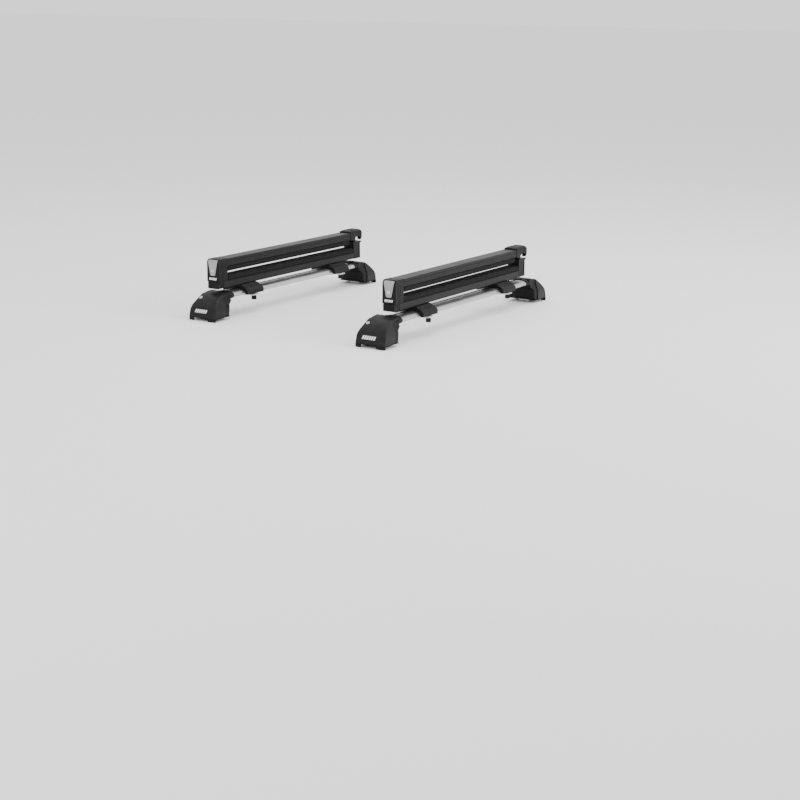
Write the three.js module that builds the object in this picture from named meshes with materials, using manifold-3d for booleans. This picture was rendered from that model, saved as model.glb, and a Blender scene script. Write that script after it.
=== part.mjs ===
// Roof ski rack: two crossbars on four feet, and a clamping ski carrier across each bar.
// Millimetres. +X is the car's nose, +Y the side with the hinges, +Z up.
// The origin is on the plane that the feet stand on, under the middle of the rack.

import * as THREE from 'three';
import { mergeVertices } from 'three/addons/utils/BufferGeometryUtils.js';
import Module from 'manifold-3d';

const wasm = await Module();
wasm.setup();

// ---- driving dimensions ----

const GAP = 0.3; // clearance between pieces that touch
const BAR_X = 350; // crossbars and carriers stand at +X and -X of this
const FRONT_FOOT_EDGE = 532; // outer edge of a front foot, from the middle
const REAR_FOOT_EDGE = 488; // the roof rails run closer together at the back

// Crossbar, a wing section with its nose to the front
const BAR_CHORD = 80;
const BAR_THICK = 24;
const BAR_TOP = 86;
const BAR_WALL = 2.6;
const BAR_END = 82; // from the foot's outer edge
const SLOT_MOUTH = 11;
const SLOT_WIDTH = 20;

// Foot, measured inboard from its outer edge
const FOOT_HALF = 55; // half its length along the rail
const FOOT_WAIST = 43.5;
const FOOT_DEEP = 106;
const COVER_WALL = 2.6;
const COVER_SEAM = 62; // where the cover ends on top
const COVER_FOOT = 13; // height of the cover's lower edge
const HINGE_SEAM = 0.8; // open joint below that edge, so that it can turn
const COVER_AXIS = [1.5, 14.5]; // hinge at the cover's lower edge
const SLEEVE_END = 124;
const TONGUE_END = 150;
const RAIL_ROOF = 10; // height of the channel that the roof rail lies in
const ARCH = [-36, 24]; // opening between the two prongs, along the rail
const BOLT_Z = 34;
const CLAW_U = 66;
const FOOT_LOCK = [-32, 38.4, 71.9]; // along the rail, inboard, up
const FOOT_LOCK_TILT = 0.605; // the cover's slope there, in radians

// Carrier, sections in X and Z
const CARRIER_NEAR = -425;
const CARRIER_FAR = 426;
const BASE_HALF = 22;
const BASE_BOTTOM = 100;
const BASE_TOP = 123.2;
const BLOCK_DEEP = 29;
const PAD_HALF = 23;
const PAD_NEAR = -371;
const PAD_GAP = [142, 154]; // top of the lower pad, bottom of the upper pad
const ARM_HALF = 25;
const ARM_BOTTOM = 173.5;
const ARM_TOP = 199;
const ARM_WALL = 3.6;
const HOUSING_DEEP = 50;
const HOUSING_TOP = 200;
const CAP_SEAM = 357;
const CAP_TOP = 210;
const CAP_END = 430;
const CAP_HALF = 26;

// Hinge end
const PIVOT = [404, 194]; // y, z of the arm's pivot
const PIVOT_R = 4.5;
const LINK_HALF_X = 11.2;
const LINK_HALF_Y = 7;
const LINK_BOTTOM = 125.4;
const TOWER_NEAR = 381;
const TOWER_TOP = 163;

// Latch end
const BUTTON_TOP = 197;
const BUTTON_BOTTOM = 145;
const BUTTON_HALF_TOP = 20;
const BUTTON_HALF_BOTTOM = 9.5;
const BUTTON_PROUD = 0.8;
const LOCK_Z = 161;
const LOCK_R = 5.5;

// Brackets that hold a carrier on its bar
const BRACKET_Y = 260;
const SADDLE_LONG = 90;
const STRAP_LONG = 34;
const BRACKET_BOLT_X = 45.6;
const KNOB_R = 8.4;
const STUD_R = 3;
const STRAP_LUG_Z = 61.5;

// ---- finishes ----

const finish = (color, roughness, metalness) =>
  new THREE.MeshStandardMaterial({ color, roughness, metalness });
const BLACK_ALLOY = finish(0x232325, 0.42, 0.6);
const SILVER_ALLOY = finish(0xc4c6c8, 0.32, 0.9);
const BLACK_PLASTIC = finish(0x1f2022, 0.55, 0.0);
const SATIN_PLASTIC = finish(0x2b2c2f, 0.45, 0.0);
const GREY_PLASTIC = finish(0xa9a8ae, 0.4, 0.0);
const RUBBER = finish(0x1a1a1b, 0.85, 0.0);
const STEEL = finish(0x8f9194, 0.35, 0.95);

// ---- solids ----

function solid(geometry) {
  const bare = geometry.index ? geometry.toNonIndexed() : geometry;
  bare.deleteAttribute('normal');
  bare.deleteAttribute('uv');
  const merged = mergeVertices(bare, 1e-4);
  return new wasm.Manifold(new wasm.Mesh({
    numProp: 3,
    vertProperties: Float32Array.from(merged.attributes.position.array),
    triVerts: Uint32Array.from(merged.index.array),
  }));
}

function toGeometry(body) {
  const mesh = body.getMesh();
  const geometry = new THREE.BufferGeometry();
  geometry.setAttribute('position', new THREE.BufferAttribute(mesh.vertProperties, 3));
  geometry.setIndex(new THREE.BufferAttribute(mesh.triVerts, 1));
  geometry.computeVertexNormals();
  return geometry;
}

function part(name, body, material) {
  const mesh = new THREE.Mesh(toGeometry(body), material);
  mesh.name = name;
  return mesh;
}

const outline = (points) => new THREE.Shape(points.map(([a, b]) => new THREE.Vector2(a, b)));

function extrude(shape, depth, bevel, curveSegments) {
  const bevels = bevel > 0
    ? { bevelEnabled: true, bevelThickness: bevel, bevelSize: bevel, bevelOffset: -bevel, bevelSegments: 1 }
    : { bevelEnabled: false };
  const inner = depth - 2 * bevel;
  const geometry = new THREE.ExtrudeGeometry(shape, { depth: inner, steps: 1, curveSegments, ...bevels });
  geometry.translate(0, 0, bevel);
  return geometry;
}

// Shape in Y and Z, pushed out from x0 to x1
function alongX(shape, x0, x1, bevel = 0, curveSegments = 6) {
  const turn = new THREE.Matrix4().makeBasis(
    new THREE.Vector3(0, 1, 0),
    new THREE.Vector3(0, 0, 1),
    new THREE.Vector3(1, 0, 0),
  );
  return solid(extrude(shape, x1 - x0, bevel, curveSegments).applyMatrix4(turn).translate(x0, 0, 0));
}

// Shape in X and Z, pushed out from y0 to y1
function alongY(shape, y0, y1, bevel = 0, curveSegments = 6) {
  return solid(extrude(shape, y1 - y0, bevel, curveSegments).rotateX(Math.PI / 2).translate(0, y1, 0));
}

// Shape in X and Y, pushed out from z0 to z1
function alongZ(shape, z0, z1, bevel = 0, curveSegments = 6) {
  return solid(extrude(shape, z1 - z0, bevel, curveSegments).translate(0, 0, z0));
}

function box(x0, x1, y0, y1, z0, z1) {
  const geometry = new THREE.BoxGeometry(x1 - x0, y1 - y0, z1 - z0);
  return solid(geometry.translate((x0 + x1) / 2, (y0 + y1) / 2, (z0 + z1) / 2));
}

// Cylinder of radius r about the line through (x, z), from y0 to y1
function rodY(r, x, z, y0, y1, sides = 20) {
  const geometry = new THREE.CylinderGeometry(r, r, y1 - y0, sides);
  return solid(geometry.translate(x, (y0 + y1) / 2, z));
}

function rodX(r, y, z, x0, x1, sides = 20) {
  const geometry = new THREE.CylinderGeometry(r, r, x1 - x0, sides).rotateZ(-Math.PI / 2);
  return solid(geometry.translate((x0 + x1) / 2, y, z));
}

function rodZ(r, x, y, z0, z1, sides = 20) {
  const geometry = new THREE.CylinderGeometry(r, r, z1 - z0, sides).rotateX(Math.PI / 2);
  return solid(geometry.translate(x, y, (z0 + z1) / 2));
}

// Moves every side of a closed outline outwards by d (inwards where d is negative)
function offset(points, d) {
  const n = points.length;
  const area = points.reduce((sum, p, i) => {
    const q = points[(i + 1) % n];
    return sum + p.x * q.y - q.x * p.y;
  }, 0);
  const side = area > 0 ? 1 : -1;
  const normal = (a, b) => {
    const edge = b.clone().sub(a).normalize();
    return new THREE.Vector2(edge.y * side, -edge.x * side);
  };
  return points.map((p, i) => {
    const before = normal(points[(i + n - 1) % n], p);
    const after = normal(p, points[(i + 1) % n]);
    const mitre = before.clone().add(after).normalize();
    return p.clone().addScaledVector(mitre, d / Math.max(0.5, mitre.dot(before)));
  });
}

const shapeOf = (points) => new THREE.Shape(points);

function roundedRect(x0, x1, y0, y1, r) {
  const shape = new THREE.Shape();
  shape.moveTo(x0 + r, y0);
  shape.lineTo(x1 - r, y0);
  shape.absarc(x1 - r, y0 + r, r, -Math.PI / 2, 0, false);
  shape.lineTo(x1, y1 - r);
  shape.absarc(x1 - r, y1 - r, r, 0, Math.PI / 2, false);
  shape.lineTo(x0 + r, y1);
  shape.absarc(x0 + r, y1 - r, r, Math.PI / 2, Math.PI, false);
  shape.lineTo(x0, y0 + r);
  shape.absarc(x0 + r, y0 + r, r, Math.PI, Math.PI * 1.5, false);
  return shape;
}

// ---- crossbar ----

const BAR_MID = BAR_TOP - BAR_THICK / 2;
const WING_SKEW = 0.25; // moves the thickest place towards the nose
const WING_PEAK = 1.0295; // height of the skewed curve before it is scaled

// Wing section, grown by d all round; nose is the side that it points to, 1 or -1
function wing(d = 0, nose = 1, sides = 32) {
  const points = [];
  for (let i = 0; i < sides; i += 1) {
    const t = (i / sides) * Math.PI * 2;
    const x = nose * (BAR_CHORD / 2 + d) * Math.cos(t);
    const z = (BAR_THICK / 2 + d) * Math.sin(t) * (1 + WING_SKEW * Math.cos(t)) / WING_PEAK;
    points.push(new THREE.Vector2(x, BAR_MID + z));
  }
  return shapeOf(points);
}

const RIB = SLOT_WIDTH / 2 + 3.5; // the solid middle that holds the top slot

// The two hollow chambers of the bar, grown by d
function chambers(y0, y1, d, nose = 1) {
  const middle = box(-RIB + d, RIB - d, y0 - 1, y1 + 1, 0, 200);
  return alongY(wing(-BAR_WALL + d, nose), y0, y1).subtract(middle);
}

function crossbar(name, footEdge) {
  const end = footEdge - BAR_END;
  const slotFloor = BAR_TOP - 14;
  const slotRoof = BAR_TOP - 6;
  const body = alongY(wing(), -end, end)
    .subtract(chambers(-end - 1, end + 1, 0))
    .subtract(box(-SLOT_WIDTH / 2, SLOT_WIDTH / 2, -end - 1, end + 1, slotFloor, slotRoof))
    .subtract(box(-SLOT_MOUTH / 2, SLOT_MOUTH / 2, -end - 1, end + 1, slotRoof - 1, BAR_TOP + 5));
  return part(name, body, SILVER_ALLOY);
}

// ---- foot: local X along the rail, local Y inboard from the outer edge ----

function footSide() {
  const shape = new THREE.Shape();
  shape.moveTo(7, 0);
  shape.lineTo(1.5, 0);
  shape.lineTo(0, 8);
  shape.bezierCurveTo(4, 34, 10, 45, 20, 56);
  shape.bezierCurveTo(36, 73, 56, 85, 82, 89.3);
  shape.lineTo(FOOT_DEEP, 92);
  shape.lineTo(FOOT_DEEP, 58);
  shape.lineTo(90, 47);
  shape.lineTo(85, 13);
  shape.lineTo(82, RAIL_ROOF);
  shape.lineTo(7, RAIL_ROOF);
  return shape.extractPoints(7).shape;
}

function footFront() {
  const shape = new THREE.Shape();
  shape.moveTo(-FOOT_HALF, -2);
  shape.lineTo(FOOT_HALF, -2);
  shape.lineTo(FOOT_HALF, 34);
  shape.bezierCurveTo(FOOT_HALF, 54, FOOT_WAIST, 60, FOOT_WAIST, 80);
  shape.lineTo(FOOT_WAIST, 100);
  shape.lineTo(-FOOT_WAIST, 100);
  shape.lineTo(-FOOT_WAIST, 80);
  shape.bezierCurveTo(-FOOT_WAIST, 60, -FOOT_HALF, 54, -FOOT_HALF, 34);
  return shape.extractPoints(6).shape;
}

// The foot's outer form, shrunk by d all round
function footForm(d) {
  const side = alongX(shapeOf(offset(footSide(), -d)), -70, 70);
  const front = alongY(shapeOf(offset(footFront(), -d)), -5, 130);
  return side.intersect(front);
}

// Carries a piece built on the Z axis to the lock's place, square to the cover
function atFootLock(geometry) {
  const [x, u, z] = FOOT_LOCK;
  return geometry.rotateX(FOOT_LOCK_TILT).translate(x, u, z);
}

function lockBlank(r, from, to, sides = 20) {
  const barrel = new THREE.CylinderGeometry(r, r, to - from, sides).rotateX(Math.PI / 2);
  return solid(atFootLock(barrel.translate(0, 0, (from + to) / 2)));
}

function footCover() {
  return footForm(0)
    .intersect(box(-60, 60, -5, COVER_SEAM, COVER_FOOT, 120))
    .subtract(footForm(COVER_WALL))
    .subtract(lockBlank(6.4, -20, 20));
}

// A far foot is turned half round, so in its own frame the bar's nose points to -X
function footBody(nose) {
  const inside = COVER_WALL + GAP;
  const clawSlot = box(-20.6, 20.6, 62.6, 78, 9, 52);
  const boltHead = rodY(8, 0, BOLT_Z, -5, 19.4);
  const boltBore = rodY(3.3, 0, BOLT_Z, 0, 80, 16);
  const [axisU, axisZ] = COVER_AXIS;
  const hingeRelief = box(-60, 60, -1, axisU + 4.1, COVER_FOOT - HINGE_SEAM, axisZ + 5.5);
  return footForm(inside)
    .subtract(hingeRelief)
    .add(footForm(0).intersect(box(-60, 60, COVER_SEAM + GAP, 120, 0, 120)))
    .add(footForm(0).intersect(box(-60, 60, -5, 120, -1, COVER_FOOT - HINGE_SEAM)))
    .add(alongY(wing(2.8, nose), 90, SLEEVE_END))
    .subtract(alongY(wing(GAP, nose), BAR_END - GAP, SLEEVE_END + 1))
    .add(chambers(BAR_END - 3, TONGUE_END, -GAP, nose))
    .subtract(box(ARCH[0], ARCH[1], -1, 7.5, -1, 11))
    .subtract(clawSlot)
    .subtract(boltHead)
    .subtract(boltBore)
    .subtract(lockBlank(11, -11, 20, 16));
}

const footPad = () => box(-50, 50, 9, 60, 7, RAIL_ROOF - GAP);

function footClaw() {
  const hook = outline([
    [58, 1], [CLAW_U + 3.5, 1], [CLAW_U + 3.5, 48], [CLAW_U, 48], [CLAW_U, 4.5], [58, 4.5],
  ]);
  return alongX(hook, -20, 20).subtract(rodY(3.4, 0, BOLT_Z, 60, 75, 16));
}

function tensionBolt() {
  const socket = rodY(2.6, 0, BOLT_Z, 12, 16.5, 6);
  return rodY(5.6, 0, BOLT_Z, 13, 19, 6).add(rodY(3, 0, BOLT_Z, 18.5, 77, 12)).subtract(socket);
}

function footLock() {
  const keyway = new THREE.BoxGeometry(1.4, 6, 3).translate(0, 0, 1);
  const cam = new THREE.BoxGeometry(5, 9, 2.5).translate(0, 3, -6);
  return lockBlank(6, -7, 0.9).add(solid(atFootLock(cam))).subtract(solid(atFootLock(keyway)));
}

function foot(name, x, edge, far) {
  const group = new THREE.Group();
  group.add(
    part(`${name}_body`, footBody(far ? -1 : 1), BLACK_PLASTIC),
    part(`${name}_cover`, footCover(), SATIN_PLASTIC),
    part(`${name}_pad`, footPad(), RUBBER),
    part(`${name}_claw`, footClaw(), STEEL),
    part(`${name}_tension_bolt`, tensionBolt(), STEEL),
    part(`${name}_lock`, footLock(), STEEL),
  );
  group.position.set(x, far ? edge : -edge, 0);
  group.rotation.z = far ? Math.PI : 0;
  return group;
}

// ---- carrier: base half ----

const BASE_WALL = 3;

// Plug that fills a hollow rail's end
const basePlug = (y0, y1) => box(
  -BASE_HALF + BASE_WALL + GAP, BASE_HALF - BASE_WALL - GAP,
  y0, y1,
  BASE_BOTTOM + BASE_WALL + GAP, BASE_TOP - BASE_WALL - GAP,
);
const armPlug = (y0, y1) => box(
  -ARM_HALF + ARM_WALL + GAP, ARM_HALF - ARM_WALL - GAP,
  y0, y1,
  ARM_BOTTOM + ARM_WALL + GAP, ARM_TOP - ARM_WALL - GAP,
);

const BLOCK_END = CARRIER_NEAR + BLOCK_DEEP;

function baseRail() {
  const hollow = box(
    -BASE_HALF + BASE_WALL, BASE_HALF - BASE_WALL,
    CARRIER_NEAR, CARRIER_FAR,
    BASE_BOTTOM + BASE_WALL, BASE_TOP - BASE_WALL,
  );
  const section = roundedRect(-BASE_HALF, BASE_HALF, BASE_BOTTOM, BASE_TOP, 3);
  return alongY(section, BLOCK_END + GAP, TOWER_NEAR - GAP, 0, 3).subtract(hollow);
}

// Rubber strip with a ribbed face: z0 lies on the rail, z1 faces the skis
function padStrip(z0, z1, y0, y1) {
  const up = Math.sign(z1 - z0);
  const halfSection = [
    [PAD_HALF - 3, z0], [PAD_HALF, z0 + 3 * up], [PAD_HALF, z1 - 8 * up],
    [PAD_HALF - 2, z1 - 7 * up], [PAD_HALF - 2, z1 - 3 * up], [PAD_HALF - 5, z1],
  ];
  const mirrored = halfSection.map(([x, z]) => [-x, z]).reverse();
  return alongY(outline([...halfSection, ...mirrored]), y0, y1);
}

function baseEndBlock() {
  const catchPocket = outline([
    [CARRIER_NEAR + 3, 106], [CARRIER_NEAR + 3, 114], [CARRIER_NEAR + 7, 117],
    [CARRIER_NEAR + 7, 130], [BLOCK_END - 3, 130], [BLOCK_END - 3, 106],
  ]);
  const section = roundedRect(-BASE_HALF + 0.6, BASE_HALF - 0.6, BASE_BOTTOM, BASE_TOP, 2);
  return alongY(section, CARRIER_NEAR, BLOCK_END, 1, 3)
    .add(basePlug(BLOCK_END - 2, BLOCK_END + 16))
    .subtract(alongX(catchPocket, -9, 9));
}

function hingeTower() {
  const side = outline([
    [TOWER_NEAR, BASE_BOTTOM], [CARRIER_FAR - 2, BASE_BOTTOM], [CARRIER_FAR, BASE_BOTTOM + 2],
    [CARRIER_FAR - 2, 157], [CARRIER_FAR + 7, 159.5], [CARRIER_FAR + 7, TOWER_TOP],
    [TOWER_NEAR, TOWER_TOP],
  ]);
  const [y] = PIVOT;
  const well = box(
    -LINK_HALF_X - GAP, LINK_HALF_X + GAP,
    y - LINK_HALF_Y - GAP, y + LINK_HALF_Y + GAP,
    LINK_BOTTOM - GAP, TOWER_TOP + 1,
  );
  return alongX(side, -BASE_HALF, BASE_HALF, 1)
    .add(basePlug(TOWER_NEAR - 16, TOWER_NEAR + 2))
    .subtract(well);
}

// ---- carrier: arm half ----

function armRail() {
  const ridges = [];
  const RIDGES = 4;
  for (let i = 0; i < RIDGES; i += 1) {
    const z = ARM_BOTTOM + 2 + i * 3.4;
    ridges.push([ARM_HALF, z], [ARM_HALF, z + 2.2], [ARM_HALF - 0.9, z + 2.6], [ARM_HALF - 0.9, z + 3]);
  }
  const halfSection = [
    [ARM_HALF - 2, ARM_BOTTOM], ...ridges,
    [ARM_HALF, ARM_TOP - 9], [ARM_HALF - 1.8, ARM_TOP - 8.4], [ARM_HALF - 1.8, ARM_TOP - 7],
    [ARM_HALF, ARM_TOP - 6.4], [ARM_HALF, ARM_TOP - 3.5], [ARM_HALF - 1.2, ARM_TOP - 1.2],
    [ARM_HALF - 3.5, ARM_TOP],
  ];
  const mirrored = halfSection.map(([x, z]) => [-x, z]).reverse();
  const hollow = box(
    -ARM_HALF + ARM_WALL, ARM_HALF - ARM_WALL,
    CARRIER_NEAR, CARRIER_FAR,
    ARM_BOTTOM + ARM_WALL, ARM_TOP - ARM_WALL,
  );
  const near = CARRIER_NEAR + HOUSING_DEEP + GAP;
  return alongY(outline([...halfSection, ...mirrored]), near, CAP_SEAM - GAP).subtract(hollow);
}

function armEndCap() {
  const [py, pz] = PIVOT;
  const sweep = 30.3; // the rounded end swings past the tower at this radius
  const side = new THREE.Shape();
  side.moveTo(CAP_SEAM, ARM_BOTTOM - 1.5);
  side.lineTo(CAP_SEAM, CAP_TOP - 6.5);
  side.quadraticCurveTo(CAP_SEAM + 22, CAP_TOP, py, CAP_TOP);
  side.bezierCurveTo(py + 16, CAP_TOP, CAP_END, CAP_TOP - 4, CAP_END, pz);
  side.absarc(py, pz, sweep, -0.5404, -1.0497, true);
  side.lineTo(CAP_SEAM + 40, ARM_BOTTOM - 1.5);
  const front = new THREE.Shape();
  front.moveTo(-CAP_HALF, 150);
  front.lineTo(CAP_HALF, 150);
  front.lineTo(CAP_HALF, CAP_TOP - 14);
  front.bezierCurveTo(CAP_HALF, CAP_TOP - 4, 14, CAP_TOP, 0, CAP_TOP);
  front.bezierCurveTo(-14, CAP_TOP, -CAP_HALF, CAP_TOP - 4, -CAP_HALF, CAP_TOP - 14);
  const arch = new THREE.Shape();
  arch.moveTo(385, 150);
  arch.lineTo(421, 150);
  arch.lineTo(421, 174);
  arch.bezierCurveTo(421, 186, 385, 186, 385, 174);
  return alongX(side, -40, 40, 0, 7)
    .intersect(alongY(front, CAP_SEAM - 1, CAP_END + 5, 0, 6))
    .add(armPlug(CAP_SEAM - 22, CAP_SEAM + 2))
    .subtract(alongX(arch, -40, 40))
    .subtract(box(-LINK_HALF_X - GAP, LINK_HALF_X + GAP, py - 13, CAP_END + 5, 150, pz + 10.5))
    .subtract(rodX(PIVOT_R + GAP, py, pz, -30, 22.6));
}

function liftLink() {
  const [y, z] = PIVOT;
  return box(-LINK_HALF_X, LINK_HALF_X, y - LINK_HALF_Y, y + LINK_HALF_Y, LINK_BOTTOM, z)
    .add(rodX(9, y, z, -LINK_HALF_X, LINK_HALF_X, 24))
    .add(rodX(PIVOT_R, y, z, -CAP_HALF + 2, 22));
}

// ---- carrier: latch ----

// Side outline of the latch housing, grown by d
function housingSide(d) {
  const corner = 13;
  const shape = new THREE.Shape();
  shape.moveTo(CARRIER_NEAR + HOUSING_DEEP, BASE_TOP + GAP);
  shape.lineTo(CARRIER_NEAR + HOUSING_DEEP, HOUSING_TOP + d);
  shape.lineTo(CARRIER_NEAR + corner, HOUSING_TOP + d);
  shape.absarc(CARRIER_NEAR + corner, HOUSING_TOP - corner, corner + d, Math.PI / 2, Math.PI, false);
  shape.lineTo(CARRIER_NEAR - d, BASE_TOP + GAP);
  return shape;
}

// Tapered face of the button, grown by d
function buttonFace(d) {
  const corner = 4;
  const shape = new THREE.Shape();
  shape.moveTo(-BUTTON_HALF_TOP, BUTTON_TOP - corner);
  shape.lineTo(-BUTTON_HALF_BOTTOM - 0.9, BUTTON_BOTTOM + corner);
  shape.quadraticCurveTo(-BUTTON_HALF_BOTTOM, BUTTON_BOTTOM, -BUTTON_HALF_BOTTOM + corner, BUTTON_BOTTOM);
  shape.lineTo(BUTTON_HALF_BOTTOM - corner, BUTTON_BOTTOM);
  shape.quadraticCurveTo(BUTTON_HALF_BOTTOM, BUTTON_BOTTOM, BUTTON_HALF_BOTTOM + 0.9, BUTTON_BOTTOM + corner);
  shape.lineTo(BUTTON_HALF_TOP, BUTTON_TOP - corner);
  shape.quadraticCurveTo(BUTTON_HALF_TOP + 0.9, BUTTON_TOP, BUTTON_HALF_TOP - corner, BUTTON_TOP);
  shape.lineTo(-BUTTON_HALF_TOP + corner, BUTTON_TOP);
  shape.quadraticCurveTo(-BUTTON_HALF_TOP - 0.9, BUTTON_TOP, -BUTTON_HALF_TOP, BUTTON_TOP - corner);
  return shapeOf(offset(shape.extractPoints(4).shape.slice(0, -1), d));
}

function latchHousing() {
  const back = CARRIER_NEAR + HOUSING_DEEP;
  return alongX(housingSide(0), -ARM_HALF, ARM_HALF, 1.2, 7)
    .subtract(box(-ARM_HALF + 3, ARM_HALF - 3, CARRIER_NEAR + 3, back - 3, 120, HOUSING_TOP - 3.2))
    .subtract(alongY(buttonFace(0.5), CARRIER_NEAR - 5, CARRIER_NEAR + 18))
    .add(armPlug(back - 2, back + 20));
}

function releaseButton() {
  const plate = alongX(housingSide(BUTTON_PROUD), -30, 30, 0, 7)
    .intersect(alongY(buttonFace(0), CARRIER_NEAR - 5, CARRIER_NEAR + 7));
  const stem = box(-7, 7, CARRIER_NEAR + 6, CARRIER_NEAR + 14, 108, 153);
  const tooth = outline([
    [CARRIER_NEAR + 9.5, 108], [CARRIER_NEAR + 12, 108], [CARRIER_NEAR + 12, 115], [CARRIER_NEAR + 9.5, 112],
  ]);
  const trim = box(-10, 10, CARRIER_NEAR, CARRIER_NEAR + 11, 100, 144);
  return plate
    .add(stem.subtract(trim))
    .add(alongX(tooth, -7, 7))
    .subtract(rodY(LOCK_R + GAP, 0, LOCK_Z, CARRIER_NEAR - 5, CARRIER_NEAR + 8, 24));
}

function lockCore() {
  const front = CARRIER_NEAR - BUTTON_PROUD - 0.6;
  return rodY(LOCK_R, 0, LOCK_Z, front, CARRIER_NEAR + 10, 24)
    .add(box(-2.5, 12, CARRIER_NEAR + 8.5, CARRIER_NEAR + 11, LOCK_Z - 3, LOCK_Z + 3))
    .subtract(box(-0.7, 0.7, front - 1, front + 2, LOCK_Z - 3, LOCK_Z + 3));
}

// ---- brackets ----

function saddle(y) {
  const shape = new THREE.Shape();
  shape.moveTo(-54, 68);
  shape.lineTo(54, 68);
  shape.lineTo(54, 80);
  shape.quadraticCurveTo(50, 88, 34, BASE_BOTTOM - GAP - 5);
  shape.lineTo(27, BASE_BOTTOM - GAP);
  shape.lineTo(-27, BASE_BOTTOM - GAP);
  shape.lineTo(-34, BASE_BOTTOM - GAP - 5);
  shape.quadraticCurveTo(-50, 88, -54, 80);
  const half = SADDLE_LONG / 2;
  return alongY(shape, y - half, y + half, 1, 4)
    .subtract(alongY(wing(GAP), y - half - 1, y + half + 1))
    .subtract(box(-42, 42, y - half - 1, y + half + 1, 40, BAR_MID))
    .subtract(rodZ(STUD_R + 0.5, BRACKET_BOLT_X, y, 60, 79, 12));
}

function strap(y) {
  const half = STRAP_LONG / 2;
  const lugEnd = 54;
  const outer = alongY(wing(3.6), y - half, y + half);
  const keep = box(-60, 60, y - half - 1, y + half + 1, 40, BAR_MID - 9);
  return outer.intersect(keep)
    .add(box(-lugEnd, lugEnd, y - half, y + half, STRAP_LUG_Z, STRAP_LUG_Z + 4))
    .subtract(alongY(wing(0.4), y - half - 1, y + half + 1))
    .subtract(box(-36, 36, y - half - 1, y + half + 1, BAR_MID - 9, BAR_TOP))
    .subtract(rodZ(STUD_R + 0.5, BRACKET_BOLT_X, y, 50, 70, 12));
}

// Star knob with its stud, which turns under the strap's lug
function knob(y) {
  const lobes = 6;
  const steps = lobes * 4;
  const points = [];
  for (let i = 0; i < steps; i += 1) {
    const t = (i / steps) * Math.PI * 2;
    const r = KNOB_R + 0.9 * Math.cos(lobes * t);
    points.push(new THREE.Vector2(BRACKET_BOLT_X + r * Math.cos(t), y + r * Math.sin(t)));
  }
  return alongZ(shapeOf(points), 46, 58.5)
    .add(rodZ(5.5, BRACKET_BOLT_X, y, 58, STRAP_LUG_Z - GAP, 12))
    .add(rodZ(STUD_R, BRACKET_BOLT_X, y, 58, 77.5, 10));
}

function carrier(name, x) {
  const group = new THREE.Group();
  const padFar = TOWER_NEAR - 3;
  group.add(
    part(`${name}_base_rail`, baseRail(), BLACK_ALLOY),
    part(`${name}_base_pad`, padStrip(BASE_TOP + GAP, PAD_GAP[0], PAD_NEAR, padFar), RUBBER),
    part(`${name}_base_end_block`, baseEndBlock(), BLACK_PLASTIC),
    part(`${name}_hinge_tower`, hingeTower(), BLACK_PLASTIC),
    part(`${name}_lift_link`, liftLink(), STEEL),
    part(`${name}_arm_rail`, armRail(), BLACK_ALLOY),
    part(`${name}_arm_pad`, padStrip(ARM_BOTTOM - GAP, PAD_GAP[1], PAD_NEAR, CAP_SEAM - 5), RUBBER),
    part(`${name}_arm_end_cap`, armEndCap(), BLACK_PLASTIC),
    part(`${name}_latch_housing`, latchHousing(), BLACK_PLASTIC),
    part(`${name}_release_button`, releaseButton(), GREY_PLASTIC),
    part(`${name}_lock_core`, lockCore(), STEEL),
  );
  [['near', -BRACKET_Y], ['far', BRACKET_Y]].forEach(([side, y]) => {
    group.add(
      part(`${name}_saddle_${side}`, saddle(y), BLACK_PLASTIC),
      part(`${name}_strap_${side}`, strap(y), STEEL),
      part(`${name}_knob_${side}`, knob(y), BLACK_PLASTIC),
    );
  });
  group.position.x = x;
  return group;
}

// ---- the rack ----

const rack = new THREE.Group();
[['front', BAR_X, FRONT_FOOT_EDGE], ['rear', -BAR_X, REAR_FOOT_EDGE]].forEach(([name, x, edge]) => {
  const bar = crossbar(`${name}_crossbar`, edge);
  bar.position.x = x;
  rack.add(bar, carrier(name, x));
  rack.add(foot(`${name}_near_foot`, x, edge, false), foot(`${name}_far_foot`, x, edge, true));
});

export default rack;
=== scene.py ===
# %% [markdown]
# # A roof ski rack, piece by piece
# Two crossbars stand on four feet, and a clamping ski carrier lies across each bar.
# The mechanical model already exists and is loaded first. It fixes every size and place.
# The cells below build the surfaces that the eye sees, each one to the size of the part it covers.

# %% Load the mechanical model
from contextlib import contextmanager
from math import cos, pi, radians, sin, tan

import bmesh
import bpy
from mathutils import Matrix, Vector


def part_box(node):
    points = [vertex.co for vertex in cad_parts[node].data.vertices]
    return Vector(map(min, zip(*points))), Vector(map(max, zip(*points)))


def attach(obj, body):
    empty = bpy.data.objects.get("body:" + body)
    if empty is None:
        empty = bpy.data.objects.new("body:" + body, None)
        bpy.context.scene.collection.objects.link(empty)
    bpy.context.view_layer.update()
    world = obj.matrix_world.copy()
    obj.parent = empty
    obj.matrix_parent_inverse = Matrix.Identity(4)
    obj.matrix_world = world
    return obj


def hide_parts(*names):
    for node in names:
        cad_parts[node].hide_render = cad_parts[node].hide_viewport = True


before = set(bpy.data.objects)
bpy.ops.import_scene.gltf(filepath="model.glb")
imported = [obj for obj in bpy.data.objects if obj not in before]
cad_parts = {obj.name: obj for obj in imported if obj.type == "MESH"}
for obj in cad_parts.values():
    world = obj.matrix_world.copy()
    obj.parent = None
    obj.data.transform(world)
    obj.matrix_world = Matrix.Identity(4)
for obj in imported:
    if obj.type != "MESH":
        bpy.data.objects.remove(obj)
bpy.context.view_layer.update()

MM = 0.001
X, Y, Z = 0, 1, 2

# %% [markdown]
# ## Sizes
# All places come from the mechanical model, so that a new piece lands exactly on the one it covers.
# `span` reads how far a node reaches along one axis. The carrier and the foot are each drawn once,
# in a local frame with the bar's middle at x = 0, and are copied to their places later.

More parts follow.
